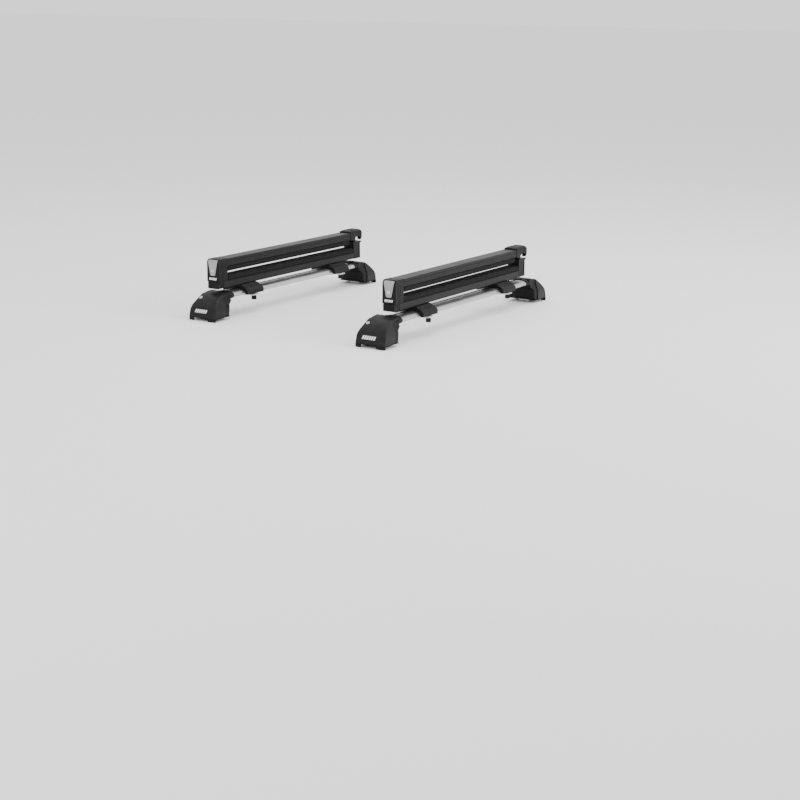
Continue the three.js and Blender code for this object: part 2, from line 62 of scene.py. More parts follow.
# %% Read the driving sizes
def span(node, axis):
    """Lowest and highest place of a node along an axis, in millimetres."""
    low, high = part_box(node)
    return low[axis] / MM, high[axis] / MM


def middle(node, axis):
    low, high = span(node, axis)
    return (low + high) / 2


CARRIERS = ("front", "rear")
SIDES = ("near", "far")
BAR_X = {name: middle(f"{name}_crossbar", X) for name in CARRIERS}
BAR_END = {name: span(f"{name}_crossbar", Y)[1] for name in CARRIERS}
FOOT_EDGE = {name: span(f"{name}_far_foot_body", Y)[1] for name in CARRIERS}
BAR_LOW, BAR_TOP = span("front_crossbar", Z)
BAR_CHORD = span("front_crossbar", X)[1] - span("front_crossbar", X)[0]
BAR_THICK = BAR_TOP - BAR_LOW
BAR_MID = (BAR_TOP + BAR_LOW) / 2
GAP = 0.3
print("bars at x:", BAR_X, "bar ends:", BAR_END, "foot edges:", FOOT_EDGE)

# %% [markdown]
# ## Camera
# The rack is seen from its front right corner, a little above it, with a long lens, which keeps
# the two bars nearly parallel. The camera stands about 5.8 m from the middle of the rack.

# %% Place the camera
CAMERA_PLACE = Vector((3.1736, -4.7948, 1.0906))
CAMERA_TURN = radians(32.4455)
CAMERA_TILT = radians(13.7697)
CAMERA_ROLL = radians(0.5488)
CAMERA_LENS = 76.03
CAMERA_SENSOR = 36
CAMERA_REACH = 200

camera = bpy.data.objects.new("camera", bpy.data.cameras.new("camera"))
bpy.context.scene.collection.objects.link(camera)
camera.data.lens = CAMERA_LENS
camera.data.sensor_width = CAMERA_SENSOR
camera.data.clip_end = CAMERA_REACH
camera.matrix_world = (
    Matrix.Translation(CAMERA_PLACE)
    @ Matrix.Rotation(CAMERA_TURN, 4, "Z")
    @ Matrix.Rotation(pi / 2 - CAMERA_TILT, 4, "X")
    @ Matrix.Rotation(CAMERA_ROLL, 4, "Z")
)
bpy.context.scene.camera = camera
print("camera:", tuple(round(v, 3) for v in camera.location), "lens", camera.data.lens)

# %% [markdown]
# ## Light
# Black plastic shows its form only by what it reflects. Wide soft lamps give it long, even
# highlights: one above, one from the nose of the car, which brightens the front of each bar,
# and a weak one from the camera's side to open the shadows.

# %% Set the lamps and the surroundings
def lamp(name, place, aim, size, power):
    """A square area light at place, turned to face aim."""
    light = bpy.data.lights.new(name, "AREA")
    light.size = size
    light.energy = power
    holder = bpy.data.objects.new(name, light)
    holder.location = place
    holder.rotation_euler = (Vector(aim) - Vector(place)).to_track_quat("-Z", "Y").to_euler()
    bpy.context.scene.collection.objects.link(holder)
    return holder


RACK_MIDDLE = (0, 0, 0.12)
lamp("top_lamp", (0.4, 0.6, 3.6), RACK_MIDDLE, 3.2, 80)
lamp("nose_lamp", (4.2, 0.8, 1.6), RACK_MIDDLE, 2.4, 120)
lamp("camera_lamp", (0.2, -4.4, 2.2), RACK_MIDDLE, 2.2, 45)

world = bpy.data.worlds.new("studio")
bpy.context.scene.world = world
world.use_nodes = True
surroundings = world.node_tree.nodes["Background"]
surroundings.inputs["Color"].default_value = (1.0, 1.0, 1.0, 1)
surroundings.inputs["Strength"].default_value = 1.35

# %% [markdown]
# ## Node groups
# Several finishes share the same small effects, so each effect is one node group:
#
# - grain: the fine matt texture that a moulding tool leaves on plastic
# - drawing: the faint long lines that a die leaves along an extrusion
# - wear and highlight: paler edges, found where a rounded normal leaves the true one; partly rubbed wear,
#   partly a painted highlight along rounded edges
# - dust: a thin pale film on faces that look up

# %% Make the shared node groups
def new_group(name, inputs, outputs):
    """An empty shader group with number inputs {name: default} and named number outputs."""
    tree = bpy.data.node_groups.new(name, "ShaderNodeTree")
    for label, value in inputs.items():
        socket = tree.interface.new_socket(name=label, in_out="INPUT", socket_type="NodeSocketFloat")
        socket.default_value = value
    for label in outputs:
        tree.interface.new_socket(name=label, in_out="OUTPUT", socket_type="NodeSocketFloat")
    return tree, tree.nodes.new("NodeGroupInput"), tree.nodes.new("NodeGroupOutput")


def add_node(tree, kind, **settings):
    """A node, with settings for its properties."""
    node = tree.nodes.new(kind)
    for key, value in settings.items():
        setattr(node, key, value)
    return node


def noise(tree, vector, scale, detail):
    """Noise over a vector. The scale may be a number or another node's output."""
    node = add_node(tree, "ShaderNodeTexNoise")
    node.inputs["Detail"].default_value = detail
    tree.links.new(vector, node.inputs["Vector"])
    if isinstance(scale, (int, float)):
        node.inputs["Scale"].default_value = scale
    else:
        tree.links.new(scale, node.inputs["Scale"])
    return node.outputs["Fac"]


def remap(tree, value, from_min, from_max, to_min=0.0, to_max=1.0):
    """A value moved from one range to another."""
    node = add_node(tree, "ShaderNodeMapRange")
    numbers = {"From Min": from_min, "From Max": from_max, "To Min": to_min, "To Max": to_max}
    for label, number in numbers.items():
        node.inputs[label].default_value = number
    tree.links.new(value, node.inputs["Value"])
    return node.outputs["Result"]


def combine(tree, operation, first, second):
    """Two values, each a socket or a number, put through one Math node."""
    node = add_node(tree, "ShaderNodeMath", operation=operation)
    for socket, value in zip(node.inputs, (first, second)):
        if isinstance(value, (int, float)):
            socket.default_value = value
        else:
            tree.links.new(value, socket)
    return node.outputs["Value"]


def grain_group():
    tree, inlet, outlet = new_group("grain", {"Scale": 2600.0}, ("Height", "Patches"))
    place = add_node(tree, "ShaderNodeTexCoord").outputs["Object"]
    fine = noise(tree, place, inlet.outputs["Scale"], 2.0)
    broad = noise(tree, place, 38.0, 4.0)
    tree.links.new(fine, outlet.inputs["Height"])
    tree.links.new(remap(tree, broad, 0.3, 0.7), outlet.inputs["Patches"])
    return tree


def drawing_group():
    tree, inlet, outlet = new_group("drawing", {"Scale": 900.0}, ("Height", "Patches"))
    place = add_node(tree, "ShaderNodeTexCoord").outputs["Object"]
    stretch = add_node(tree, "ShaderNodeMapping")
    stretch.inputs["Scale"].default_value = (1.0, 0.006, 1.0)
    tree.links.new(place, stretch.inputs["Vector"])
    lines = noise(tree, stretch.outputs["Vector"], inlet.outputs["Scale"], 2.0)
    broad = noise(tree, place, 9.0, 3.0)
    tree.links.new(lines, outlet.inputs["Height"])
    tree.links.new(remap(tree, broad, 0.3, 0.7), outlet.inputs["Patches"])
    return tree


def wear_and_highlight_group():
    tree, inlet, outlet = new_group("wear_and_highlight", {"Amount": 0.5}, ("Mask",))
    place = add_node(tree, "ShaderNodeTexCoord").outputs["Object"]
    eased = add_node(tree, "ShaderNodeBevel", samples=6)
    eased.inputs["Radius"].default_value = 0.0011
    flat = add_node(tree, "ShaderNodeNewGeometry").outputs["Normal"]
    agree = add_node(tree, "ShaderNodeVectorMath", operation="DOT_PRODUCT")
    tree.links.new(eased.outputs["Normal"], agree.inputs[0])
    tree.links.new(flat, agree.inputs[1])
    # The pale edge mask is partly rubbed wear and partly a painted highlight along rounded edges.
    edge = remap(tree, agree.outputs["Value"], 0.995, 0.90)
    broken = remap(tree, noise(tree, place, 240.0, 5.0), 0.35, 0.62)
    rubbed_and_highlit = combine(tree, "MULTIPLY", edge, broken)
    tree.links.new(combine(tree, "MULTIPLY", rubbed_and_highlit, inlet.outputs["Amount"]), outlet.inputs["Mask"])
    return tree


def dust_group():
    tree, inlet, outlet = new_group("dust", {"Amount": 0.2}, ("Mask",))
    place = add_node(tree, "ShaderNodeTexCoord").outputs["Object"]
    normal = add_node(tree, "ShaderNodeNewGeometry").outputs["Normal"]
    axes = add_node(tree, "ShaderNodeSeparateXYZ")
    tree.links.new(normal, axes.inputs["Vector"])
    up = remap(tree, axes.outputs["Z"], 0.35, 1.0)
    patches = remap(tree, noise(tree, place, 55.0, 6.0), 0.38, 0.72)
    film = combine(tree, "MULTIPLY", up, patches)
    tree.links.new(combine(tree, "MULTIPLY", film, inlet.outputs["Amount"]), outlet.inputs["Mask"])
    return tree


GRAIN, DRAWING, WEAR_AND_HIGHLIGHT, DUST = grain_group(), drawing_group(), wear_and_highlight_group(), dust_group()
print("node groups:", [tree.name for tree in bpy.data.node_groups])

# %% [markdown]
# ## Finishes
# Each finish starts from one Principled shader. Its colour runs between two close tones in soft
# patches, its roughness moves a little with the same patches, and the grain or the drawing lines
# go into a Bump node. Paler edges, partly rubbed wear and partly a painted highlight, and dust are
# laid over the colour last.

# %% Make the finishes
DUST_TONE = (0.30, 0.29, 0.275, 1)


def place_group(tree, group, **values):
    """One of the shared groups in a material, with its numbers set."""
    node = tree.nodes.new("ShaderNodeGroup")
    node.node_tree = group
    for label, value in values.items():
        node.inputs[label].default_value = value
    return node


def mix_colour(tree, factor, first, second):
    """A colour between two others, each a socket or a fixed colour."""
    node = add_node(tree, "ShaderNodeMix", data_type="RGBA")
    tree.links.new(factor, node.inputs["Factor"])
    for label, value in (("A", first), ("B", second)):
        socket = next(s for s in node.inputs if s.name == label and s.type == "RGBA")
        if isinstance(value, tuple):
            socket.default_value = value
        else:
            tree.links.new(value, socket)
    return next(s for s in node.outputs if s.type == "RGBA")


def finish(name, tones, roughness, texture, depth, scale, metallic=0.0, edge=0.0, edge_wear_and_highlight_tone=None,
           dust=0.0, specular=0.5):
    """A material: two tones, a roughness range, and a grain or drawing texture of a depth in metres."""
    material = bpy.data.materials.new(name)
    material.use_nodes = True
    tree = material.node_tree
    shader = tree.nodes["Principled BSDF"]
    shader.inputs["Metallic"].default_value = metallic
    shader.inputs["Specular IOR Level"].default_value = specular
    pattern = place_group(tree, texture, Scale=scale)
    colour = mix_colour(tree, pattern.outputs["Patches"], *[(*tone, 1) for tone in tones])
    # Paler edges: partly rubbed wear, partly a painted highlight along rounded edges.
    if edge > 0:
        rubbed_and_highlit = place_group(tree, WEAR_AND_HIGHLIGHT, Amount=edge).outputs["Mask"]
        colour = mix_colour(tree, rubbed_and_highlit, colour, edge_wear_and_highlight_tone)
    if dust > 0:
        film = place_group(tree, DUST, Amount=dust).outputs["Mask"]
        colour = mix_colour(tree, film, colour, DUST_TONE)
    tree.links.new(colour, shader.inputs["Base Color"])
    rough = remap(tree, pattern.outputs["Patches"], 0.0, 1.0, *roughness)
    tree.links.new(rough, shader.inputs["Roughness"])
    bump = add_node(tree, "ShaderNodeBump")
    bump.inputs["Strength"].default_value = 1.0
    bump.inputs["Distance"].default_value = depth
    tree.links.new(pattern.outputs["Height"], bump.inputs["Height"])
    tree.links.new(bump.outputs["Normal"], shader.inputs["Normal"])
    return material


MOULDED = finish("moulded_black_plastic", ((0.0045, 0.0046, 0.005), (0.0075, 0.0076, 0.008)), (0.42, 0.52),
                 GRAIN, 0.00004, scale=2400.0, edge=0.35, dust=0.04, edge_wear_and_highlight_tone=(0.05, 0.05, 0.052, 1),
                 specular=0.13)
# The cover's strong pale rim is partly rubbed wear and partly a painted highlight along its bevel.
SHELL = finish("satin_cover_plastic", ((0.0065, 0.0067, 0.0072), (0.0095, 0.0097, 0.0102)), (0.34, 0.42),
               GRAIN, 0.00002, scale=3200.0, edge=0.6, dust=0.03, edge_wear_and_highlight_tone=(0.09, 0.09, 0.094, 1),
               specular=0.17)
ANODISED = finish("black_anodised_alloy", ((0.006, 0.006, 0.0064), (0.009, 0.009, 0.0096)), (0.36, 0.44),
                  DRAWING, 0.000006, metallic=0.1, scale=1500.0, edge=0.45, dust=0.03,
                  edge_wear_and_highlight_tone=(0.11, 0.11, 0.113, 1), specular=0.15)
SILVER = finish("clear_anodised_alloy", ((0.50, 0.505, 0.515), (0.57, 0.575, 0.585)), (0.28, 0.36),
                DRAWING, 0.00001, metallic=1.0, scale=1500.0, dust=0.03)
BUTTON_GREY = finish("button_grey_plastic", ((0.27, 0.268, 0.285), (0.32, 0.317, 0.335)), (0.34, 0.42),
                     GRAIN, 0.00002, scale=3000.0, edge=0.25, dust=0.02, edge_wear_and_highlight_tone=(0.55, 0.55, 0.57, 1))
RUBBER = finish("ribbed_rubber", ((0.005, 0.005, 0.0055), (0.009, 0.009, 0.0095)), (0.68, 0.85),
                GRAIN, 0.00006, scale=1500.0, edge=0.2, dust=0.08, edge_wear_and_highlight_tone=(0.04, 0.04, 0.04, 1),
                specular=0.12)
STEEL = finish("zinc_plated_steel", ((0.50, 0.50, 0.51), (0.62, 0.62, 0.62)), (0.28, 0.42),
               GRAIN, 0.00002, metallic=1.0, scale=900.0, dust=0.03)
COATED = finish("black_coated_steel", ((0.012, 0.012, 0.013), (0.020, 0.020, 0.021)), (0.30, 0.42),
                GRAIN, 0.00002, metallic=0.4, scale=1200.0, edge=0.6, dust=0.03,
                edge_wear_and_highlight_tone=(0.30, 0.30, 0.30, 1), specular=0.35)
LOCK_METAL = finish("nickel_lock_metal", ((0.60, 0.59, 0.57), (0.70, 0.69, 0.67)), (0.20, 0.30),
                    GRAIN, 0.00002, metallic=1.0, scale=2000.0)
MARK_WHITE = finish("printed_white_mark", ((0.80, 0.80, 0.80), (0.86, 0.86, 0.86)), (0.40, 0.52),
                    GRAIN, 0.00002, scale=2500.0)
FINISHES = (MOULDED, SHELL, ANODISED, SILVER, BUTTON_GREY, RUBBER, STEEL, COATED, LOCK_METAL, MARK_WHITE)
print("finishes:", [material.name for material in FINISHES])

# %% [markdown]
# ## Ways of making a solid
# Nearly every part of a rack is moulded, extruded or pressed, so nearly every piece starts in one
# of three ways: a box, a rod, or an outline that is drawn, filled and pushed out. Outlines are
# lists of corners, and a third number at a corner is the radius that rounds it.

# %% Select and edit
def clear_selection():
    if bpy.context.object and bpy.context.object.mode != "OBJECT":
        bpy.ops.object.mode_set(mode="OBJECT")
    bpy.ops.object.select_all(action="DESELECT")


def select_only(obj):
    clear_selection()
    obj.select_set(True)
    bpy.context.view_layer.objects.active = obj


@contextmanager
def editing(obj, kind="FACE"):
    """Edit mode on one object, with nothing selected at the start."""
    select_only(obj)
    bpy.ops.object.mode_set(mode="EDIT")
    bpy.ops.mesh.select_mode(type=kind)
    bpy.ops.mesh.select_all(action="DESELECT")
    yield
    bpy.ops.object.mode_set(mode="OBJECT")


def pick_faces(obj, test):
    """In edit mode, selects each face whose middle (in millimetres) and normal pass the test."""
    mesh = bmesh.from_edit_mesh(obj.data)
    for face in mesh.faces:
        face.select_set(bool(test(face.calc_center_median() / MM, face.normal)))
    bmesh.update_edit_mesh(obj.data)


def pick_edges(obj, test):
    """In edit mode, selects each edge whose middle and two face normals pass the test."""
    mesh = bmesh.from_edit_mesh(obj.data)
    for edge in mesh.edges:
        if len(edge.link_faces) == 2:
            place = (edge.verts[0].co + edge.verts[1].co) / 2 / MM
            first, second = (face.normal for face in edge.link_faces)
            edge.select_set(bool(test(place, first, second) or test(place, second, first)))
    bmesh.update_edit_mesh(obj.data)


def modify(obj, kind, **settings):
    """Adds a modifier with these settings and applies it."""
    select_only(obj)
    modifier = obj.modifiers.new(kind.title(), kind)
    for key, value in settings.items():
        setattr(modifier, key, value)
    bpy.ops.object.modifier_apply(modifier=modifier.name)
    return obj


def soften(obj, width, segments=3, angle=40):
    """Rounds every edge that turns by more than the angle."""
    return modify(obj, "BEVEL", width=width * MM, segments=segments, limit_method="ANGLE",
                  angle_limit=radians(angle), harden_normals=False)


def combine_with(obj, tool, operation):
    modify(obj, "BOOLEAN", operation=operation, object=tool, solver="EXACT")
    bpy.data.objects.remove(tool)
    return obj


def cut(obj, *tools):
    for tool in tools:
        combine_with(obj, tool, "DIFFERENCE")
    return obj


def weld(obj, *tools):
    for tool in tools:
        combine_with(obj, tool, "UNION")
    return obj


def keep_inside(obj, tool):
    return combine_with(obj, tool, "INTERSECT")


print("selection and modifier helpers are ready")

# %% Boxes, rods and drawn outlines
def block(name, low, high):
    """A box between two corners."""
    clear_selection()
    size = [(b - a) * MM for a, b in zip(low, high)]
    centre = [(a + b) / 2 * MM for a, b in zip(low, high)]
    bpy.ops.mesh.primitive_cube_add(size=1, location=centre, scale=size)
    bpy.ops.object.transform_apply(location=True, rotation=True, scale=True)
    bpy.context.object.name = name
    return bpy.context.object


ROD_TURN = {"x": (0, pi / 2, 0), "y": (pi / 2, 0, 0), "z": (0, 0, 0)}
AXES = {"x": Vector((1, 0, 0)), "y": Vector((0, 1, 0)), "z": Vector((0, 0, 1))}


def rod(name, radius, start, length, axis, sides=40):
    """A round bar from a start point along an axis."""
    clear_selection()
    centre = (Vector(start) + AXES[axis] * length / 2) * MM
    bpy.ops.mesh.primitive_cylinder_add(
        vertices=sides, radius=radius * MM, depth=length * MM, location=centre, rotation=ROD_TURN[axis]
    )
    bpy.ops.object.transform_apply(location=True, rotation=True, scale=True)
    bpy.context.object.name = name
    return bpy.context.object


def rounded(corners, steps=6):
    """A closed outline from corners (a, b) or (a, b, radius). A radius becomes an arc."""
    points = []
    for i, corner in enumerate(corners):
        here = Vector(corner[:2])
        if len(corner) == 2:
            points.append(here)
            continue
        back = (Vector(corners[i - 1][:2]) - here).normalized()
        ahead = (Vector(corners[(i + 1) % len(corners)][:2]) - here).normalized()
        half_angle = back.angle(ahead) / 2
        centre = here + (back + ahead).normalized() * corner[2] / sin(half_angle)
        first = here + back * corner[2] / tan(half_angle) - centre
        last = here + ahead * corner[2] / tan(half_angle) - centre
        for k in range(steps + 1):
            points.append(centre + first.slerp(last, k / steps).normalized() * corner[2])
    return points


def bezier(start, first, second, end, steps=12):
    """Points along a Bezier curve, without its last one."""
    points = []
    for k in range(steps):
        t = k / steps
        weights = ((1 - t) ** 3, 3 * t * (1 - t) ** 2, 3 * t * t * (1 - t), t ** 3)
        pulls = (Vector(p) * w for p, w in zip((start, first, second, end), weights))
        points.append(sum(pulls, Vector((0, 0))))
    return points


def mirrored(half):
    """A closed outline from its right half, listed from one end to the other."""
    return [*half, *[(-corner[0], *corner[1:]) for corner in reversed(half)]]


PLANES = {
    "x": lambda a, b, depth: (depth, a, b),
    "y": lambda a, b, depth: (a, depth, b),
    "z": lambda a, b, depth: (a, b, depth),
}


def drawn(name, corners, axis, low, high, steps=6):
    """An outline drawn across an axis, filled, and pushed out from low to high."""
    clear_selection()
    points = rounded(corners, steps)
    line = bpy.data.curves.new(name, "CURVE")
    line.dimensions = "3D"
    spline = line.splines.new("POLY")
    spline.points.add(len(points) - 1)
    for point, (a, b) in zip(spline.points, points):
        point.co = (*(Vector(PLANES[axis](a, b, low)) * MM), 1)
    spline.use_cyclic_u = True
    obj = bpy.data.objects.new(name, line)
    bpy.context.scene.collection.objects.link(obj)
    select_only(obj)
    bpy.ops.object.convert(target="MESH")
    obj = bpy.context.object
    with editing(obj, "VERT"):
        bpy.ops.mesh.select_all(action="SELECT")
        bpy.ops.mesh.remove_doubles(threshold=0.00001)
        bpy.ops.mesh.edge_face_add()
        push = AXES[axis] * (high - low) * MM
        bpy.ops.mesh.extrude_region_move(TRANSFORM_OT_translate={"value": push})
        bpy.ops.mesh.select_all(action="SELECT")
        bpy.ops.mesh.normals_make_consistent(inside=False)
    return obj


def grown(corners, distance):
    """An outline moved outwards all round by a distance, or inwards if it is negative."""
    count = len(corners)
    points = [Vector(corner[:2]) for corner in corners]
    area = sum(points[i - 1].x * points[i].y - points[i].x * points[i - 1].y for i in range(count))
    side = 1 if area > 0 else -1
    moved = []
    for i, here in enumerate(points):
        before = (here - points[i - 1]).normalized()
        after = (points[(i + 1) % count] - here).normalized()
        first = Vector((before.y, -before.x)) * side
        second = Vector((after.y, -after.x)) * side
        mitre = (first + second).normalized()
        moved.append(here + mitre * distance / max(0.5, mitre.dot(first)))
    return moved


print("box, rod and outline helpers are ready")

# %% Finish a piece and copy it to its places
SMOOTH_ANGLE = radians(32)


def smooth(obj):
    select_only(obj)
    bpy.ops.object.shade_smooth_by_angle(angle=SMOOTH_ANGLE)
    return obj


def lay(model, name, place, body, material, slot, *nodes):
    """A copy of a model with its own mesh, moved into the rack, riding on a body for its nodes."""
    mesh = model.data.copy()
    mesh.transform(place)
    mesh.materials.clear()
    mesh.materials.append(material)
    obj = bpy.data.objects.new(name, mesh)
    bpy.context.scene.collection.objects.link(obj)
    modify(obj, "WEIGHTED_NORMAL", keep_sharp=True, weight=60)
    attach(obj, body)
    if nodes:
        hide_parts(*nodes)
    return obj


def put_away(*models):
    """Removes models once their copies are in place."""
    for model in models:
        bpy.data.objects.remove(model)


def carrier_place(name):
    return Matrix.Translation((BAR_X[name] * MM, 0, 0))


def foot_place(name, side):
    """A near foot is drawn with its outer edge at y = 0. A far foot is the same, turned half round."""
    if side == "near":
        return Matrix.Translation((BAR_X[name] * MM, -FOOT_EDGE[name] * MM, 0))
    return Matrix.Translation((BAR_X[name] * MM, FOOT_EDGE[name] * MM, 0)) @ Matrix.Rotation(pi, 4, "Z")


CARRIER_HOMES = [(name, carrier_place(name)) for name in CARRIERS]
FOOT_HOMES = [(f"{name}_{side}_foot", foot_place(name, side)) for name in CARRIERS for side in SIDES]


def lay_all(homes, *rows):
    """Lays models at every home. A row is a model, the ends of its name and of its body's name,
    a material, a slot, which is not used, and, where the model covers a node, the end of the node's name."""
    for home, place in homes:
        for model, name, body, material, slot, *nodes in rows:
            rides_on = "root" if body == "root" else f"{home}_{body}"
            lay(model, f"{home}_{name}", place, rides_on, material, slot,
                *[f"{home}_{node}" for node in nodes])
    put_away(*[row[0] for row in rows])


print("homes:", [home for home, place in CARRIER_HOMES + FOOT_HOMES])

# %% [markdown]
# ## Crossbars
# A real bar is an extruded wing: an ellipse whose thickest place sits towards the nose, with two
# hollow chambers and a T slot along the top. One formula gives the wing, so that the feet and the
# brackets can use it again, a little grown, for their own sockets.

# %% Draw the wing
WING_SKEW = 0.25
WING_PEAK = 1.0295
BAR_WALL = 2.6
SLOT_HALF_MOUTH = 5.5
SLOT_HALF_WIDTH = 10.0
SLOT_ROOF = BAR_TOP - 6
SLOT_FLOOR = BAR_TOP - 14
CHAMBER_SIDE = SLOT_HALF_WIDTH + 3.5


def wing(grow=0.0, nose=1, sides=96):
    """The bar's section, grown all round. The nose points to +X or to -X."""
    points = []
    for i in range(sides):
        t = 2 * pi * i / sides
        height = (BAR_THICK / 2 + grow) * sin(t) * (1 + WING_SKEW * cos(t)) / WING_PEAK
        points.append((nose * (BAR_CHORD / 2 + grow) * cos(t), BAR_MID + height))
    return points


def chambers(low, high, grow=0.0, nose=1):
    """The two hollows of the bar as solids."""
    inner = drawn("chambers", wing(grow - BAR_WALL, nose), "y", low, high)
    side = CHAMBER_SIDE - grow
    return cut(inner, block("web", (-side, low - 1, 0), (side, high + 1, 200)))


# %% Extrude the bars
for name in CARRIERS:
    end = BAR_END[name]
    bar = drawn("bar", wing(), "y", -end, end)
    cut(bar, chambers(-end - 1, end + 1))
    cut(bar, block("slot", (-SLOT_HALF_WIDTH, -end - 1, SLOT_FLOOR), (SLOT_HALF_WIDTH, end + 1, SLOT_ROOF)))
    mouth = [(-SLOT_HALF_MOUTH, SLOT_ROOF - 1), (SLOT_HALF_MOUTH, SLOT_ROOF - 1),
             (SLOT_HALF_MOUTH, BAR_TOP - 1.2), (SLOT_HALF_MOUTH + 1, BAR_TOP + 0.4),
             (-SLOT_HALF_MOUTH - 1, BAR_TOP + 0.4), (-SLOT_HALF_MOUTH, BAR_TOP - 2)]
    cut(bar, drawn("mouth", mouth, "y", -end - 1, end + 1))
    smooth(bar)
    lay(bar, f"{name}_bar_extrusion", carrier_place(name), "root", SILVER, "silver_alloy",
        f"{name}_crossbar")
    put_away(bar)

# %% [markdown]
# ## Slot strips
# A black rubber strip closes the T slot, so that it doesn't whistle in the wind. It is hooked
# under the slot's lips and has two soft beads on top. It runs between the feet.

# %% Draw the slot strips
SLEEVE_END = 124


def slot_strip(length):
    top = BAR_TOP - 0.7
    half = [(0, SLOT_ROOF - 3.2), (SLOT_HALF_WIDTH - 0.6, SLOT_ROOF - 2.4, 0.4),
            (SLOT_HALF_WIDTH - 0.6, SLOT_ROOF - 0.4, 0.4), (SLOT_HALF_MOUTH - 0.3, SLOT_ROOF - 0.4),
            (SLOT_HALF_MOUTH - 0.3, top - 0.7, 0.5), (SLOT_HALF_MOUTH - 1.6, top, 0.6),
            (1.2, top - 0.2, 0.3), (0, top - 0.8)]
    right = half[1:-1]
    corners = [half[0], *right, half[-1], *[(-c[0], *c[1:]) for c in reversed(right)]]
    return smooth(drawn("strip", corners, "y", -length, length, steps=3))


for name in CARRIERS:
    strip = slot_strip(FOOT_EDGE[name] - SLEEVE_END - 0.5)
    lay(strip, f"{name}_slot_strip", carrier_place(name), "root", RUBBER, "rubber")
    put_away(strip)

# %% [markdown]
# ## Foot covers
# The cover is a moulded shell. From the side it sweeps up like a wave, and from the front it is
# full at the bottom and drawn in to a waist. A grid is laid on that form: its rows fan out from
# the lower inner corner, so that they always cross the sweep squarely and the rounded corner
# keeps one radius all the way. The sheet then gets its wall, its lock hole and softened edges.

# %% Draw the foot's two outlines
FOOT_HALF = (span("front_near_foot_cover", X)[1] - span("front_near_foot_cover", X)[0]) / 2
FOOT_WAIST = 43.5
FLARE_LOW, FLARE_HIGH = 34, 80
FLARE_PULLS = (54, 60)
FOOT_DEEP = 106
COVER_SEAM = 62
COVER_FOOT = span("front_near_foot_cover", Z)[0]
COVER_WALL = 2.6
RAIL_ROOF = 10


def foot_sweep(steps=14):
    """The outer line of the foot from its lower edge to the top, inboard and up."""
    lower = bezier((0, 8), (4, 34), (10, 45), (20, 56), steps)
    upper = bezier((20, 56), (36, 73), (56, 85), (82, 89.3), steps)
    return [*lower, *upper, Vector((82, 89.3))]


def foot_side(steps=14):
    """The foot's outline seen along the rail."""
    return [(7, 0), (1.5, 0), *foot_sweep(steps), (FOOT_DEEP, 92), (FOOT_DEEP, 58), (90, 47),
            (85, 13), (82, RAIL_ROOF), (7, RAIL_ROOF)]


def foot_front(steps=12):
    """The foot's outline seen from outside the car."""
    flare = bezier((FOOT_HALF, FLARE_LOW), (FOOT_HALF, FLARE_PULLS[0]),
                   (FOOT_WAIST, FLARE_PULLS[1]), (FOOT_WAIST, FLARE_HIGH), steps)
    right = [(FOOT_HALF, -2), *flare, (FOOT_WAIST, FLARE_HIGH), (FOOT_WAIST, 100)]
    return mirrored([tuple(point) for point in right])


def half_width(height):
    """Half the foot's width at a height, found by halving along the flare's curve."""
    low, high = 0.0, 1.0
    first, second = 3 * FLARE_PULLS[0], 3 * FLARE_PULLS[1]
    for _ in range(24):
        t = (low + high) / 2
        here = (FLARE_LOW * (1 - t) ** 3 + first * t * (1 - t) ** 2
                + second * t * t * (1 - t) + FLARE_HIGH * t ** 3)
        low, high = (t, high) if here < height else (low, t)
    return FOOT_HALF * (1 - low) ** 2 * (1 + 2 * low) + FOOT_WAIST * low ** 2 * (3 - 2 * low)


print("foot half width at 20, 57, 80 mm:", [round(half_width(h), 1) for h in (20, 57, 80)])

# %% Lay a grid on the cover's form
FAN_ROWS = 34
WALL_STEPS = 9
CORNER_STEPS = 5
FACE_STEPS = 18
COVER_CORNER = 4.0
COVER_CROWN = 0.7


def sweep_reach(angle):
    """How far the sweep is from the cover's lower inner corner, in a direction."""
    ray = Vector((cos(angle), sin(angle)))
    line = [point - Vector((COVER_SEAM, COVER_FOOT)) for point in foot_sweep(40)]
    for first, second in zip(line, line[1:]):
        side_first = ray.x * first.y - ray.y * first.x
        side_second = ray.x * second.y - ray.y * second.x
        if side_first >= 0 >= side_second or side_first <= 0 <= side_second:
            share = side_first / (side_first - side_second)
            return first.lerp(second, share).length
    return line[-1].length


def cover_row(angle):
    """Points across the cover in one direction of the fan: up one side, over, and down the other."""
    reach = sweep_reach(angle)
    ray = Vector((cos(angle), sin(angle)))

    def point(inset, out, share=1.0):
        place = Vector((COVER_SEAM, COVER_FOOT)) + ray * out
        return Vector((share * (half_width(place.y) - inset), place.x, place.y))

    wall = [point(0, (reach - COVER_CORNER) * k / WALL_STEPS) for k in range(WALL_STEPS)]
    corner = []
    for k in range(CORNER_STEPS):
        turn = pi / 2 * k / CORNER_STEPS
        corner.append(point(COVER_CORNER * (1 - cos(turn)), reach - COVER_CORNER * (1 - sin(turn))))
    face = []
    for k in range(FACE_STEPS + 1):
        share = 1 - 2 * k / FACE_STEPS
        crown = COVER_CROWN * (share ** 4)
        face.append(point(COVER_CORNER, reach - crown, share))
    right = wall + corner
    left = [Vector((-p.x, p.y, p.z)) for p in reversed(right)]
    return right + face + left


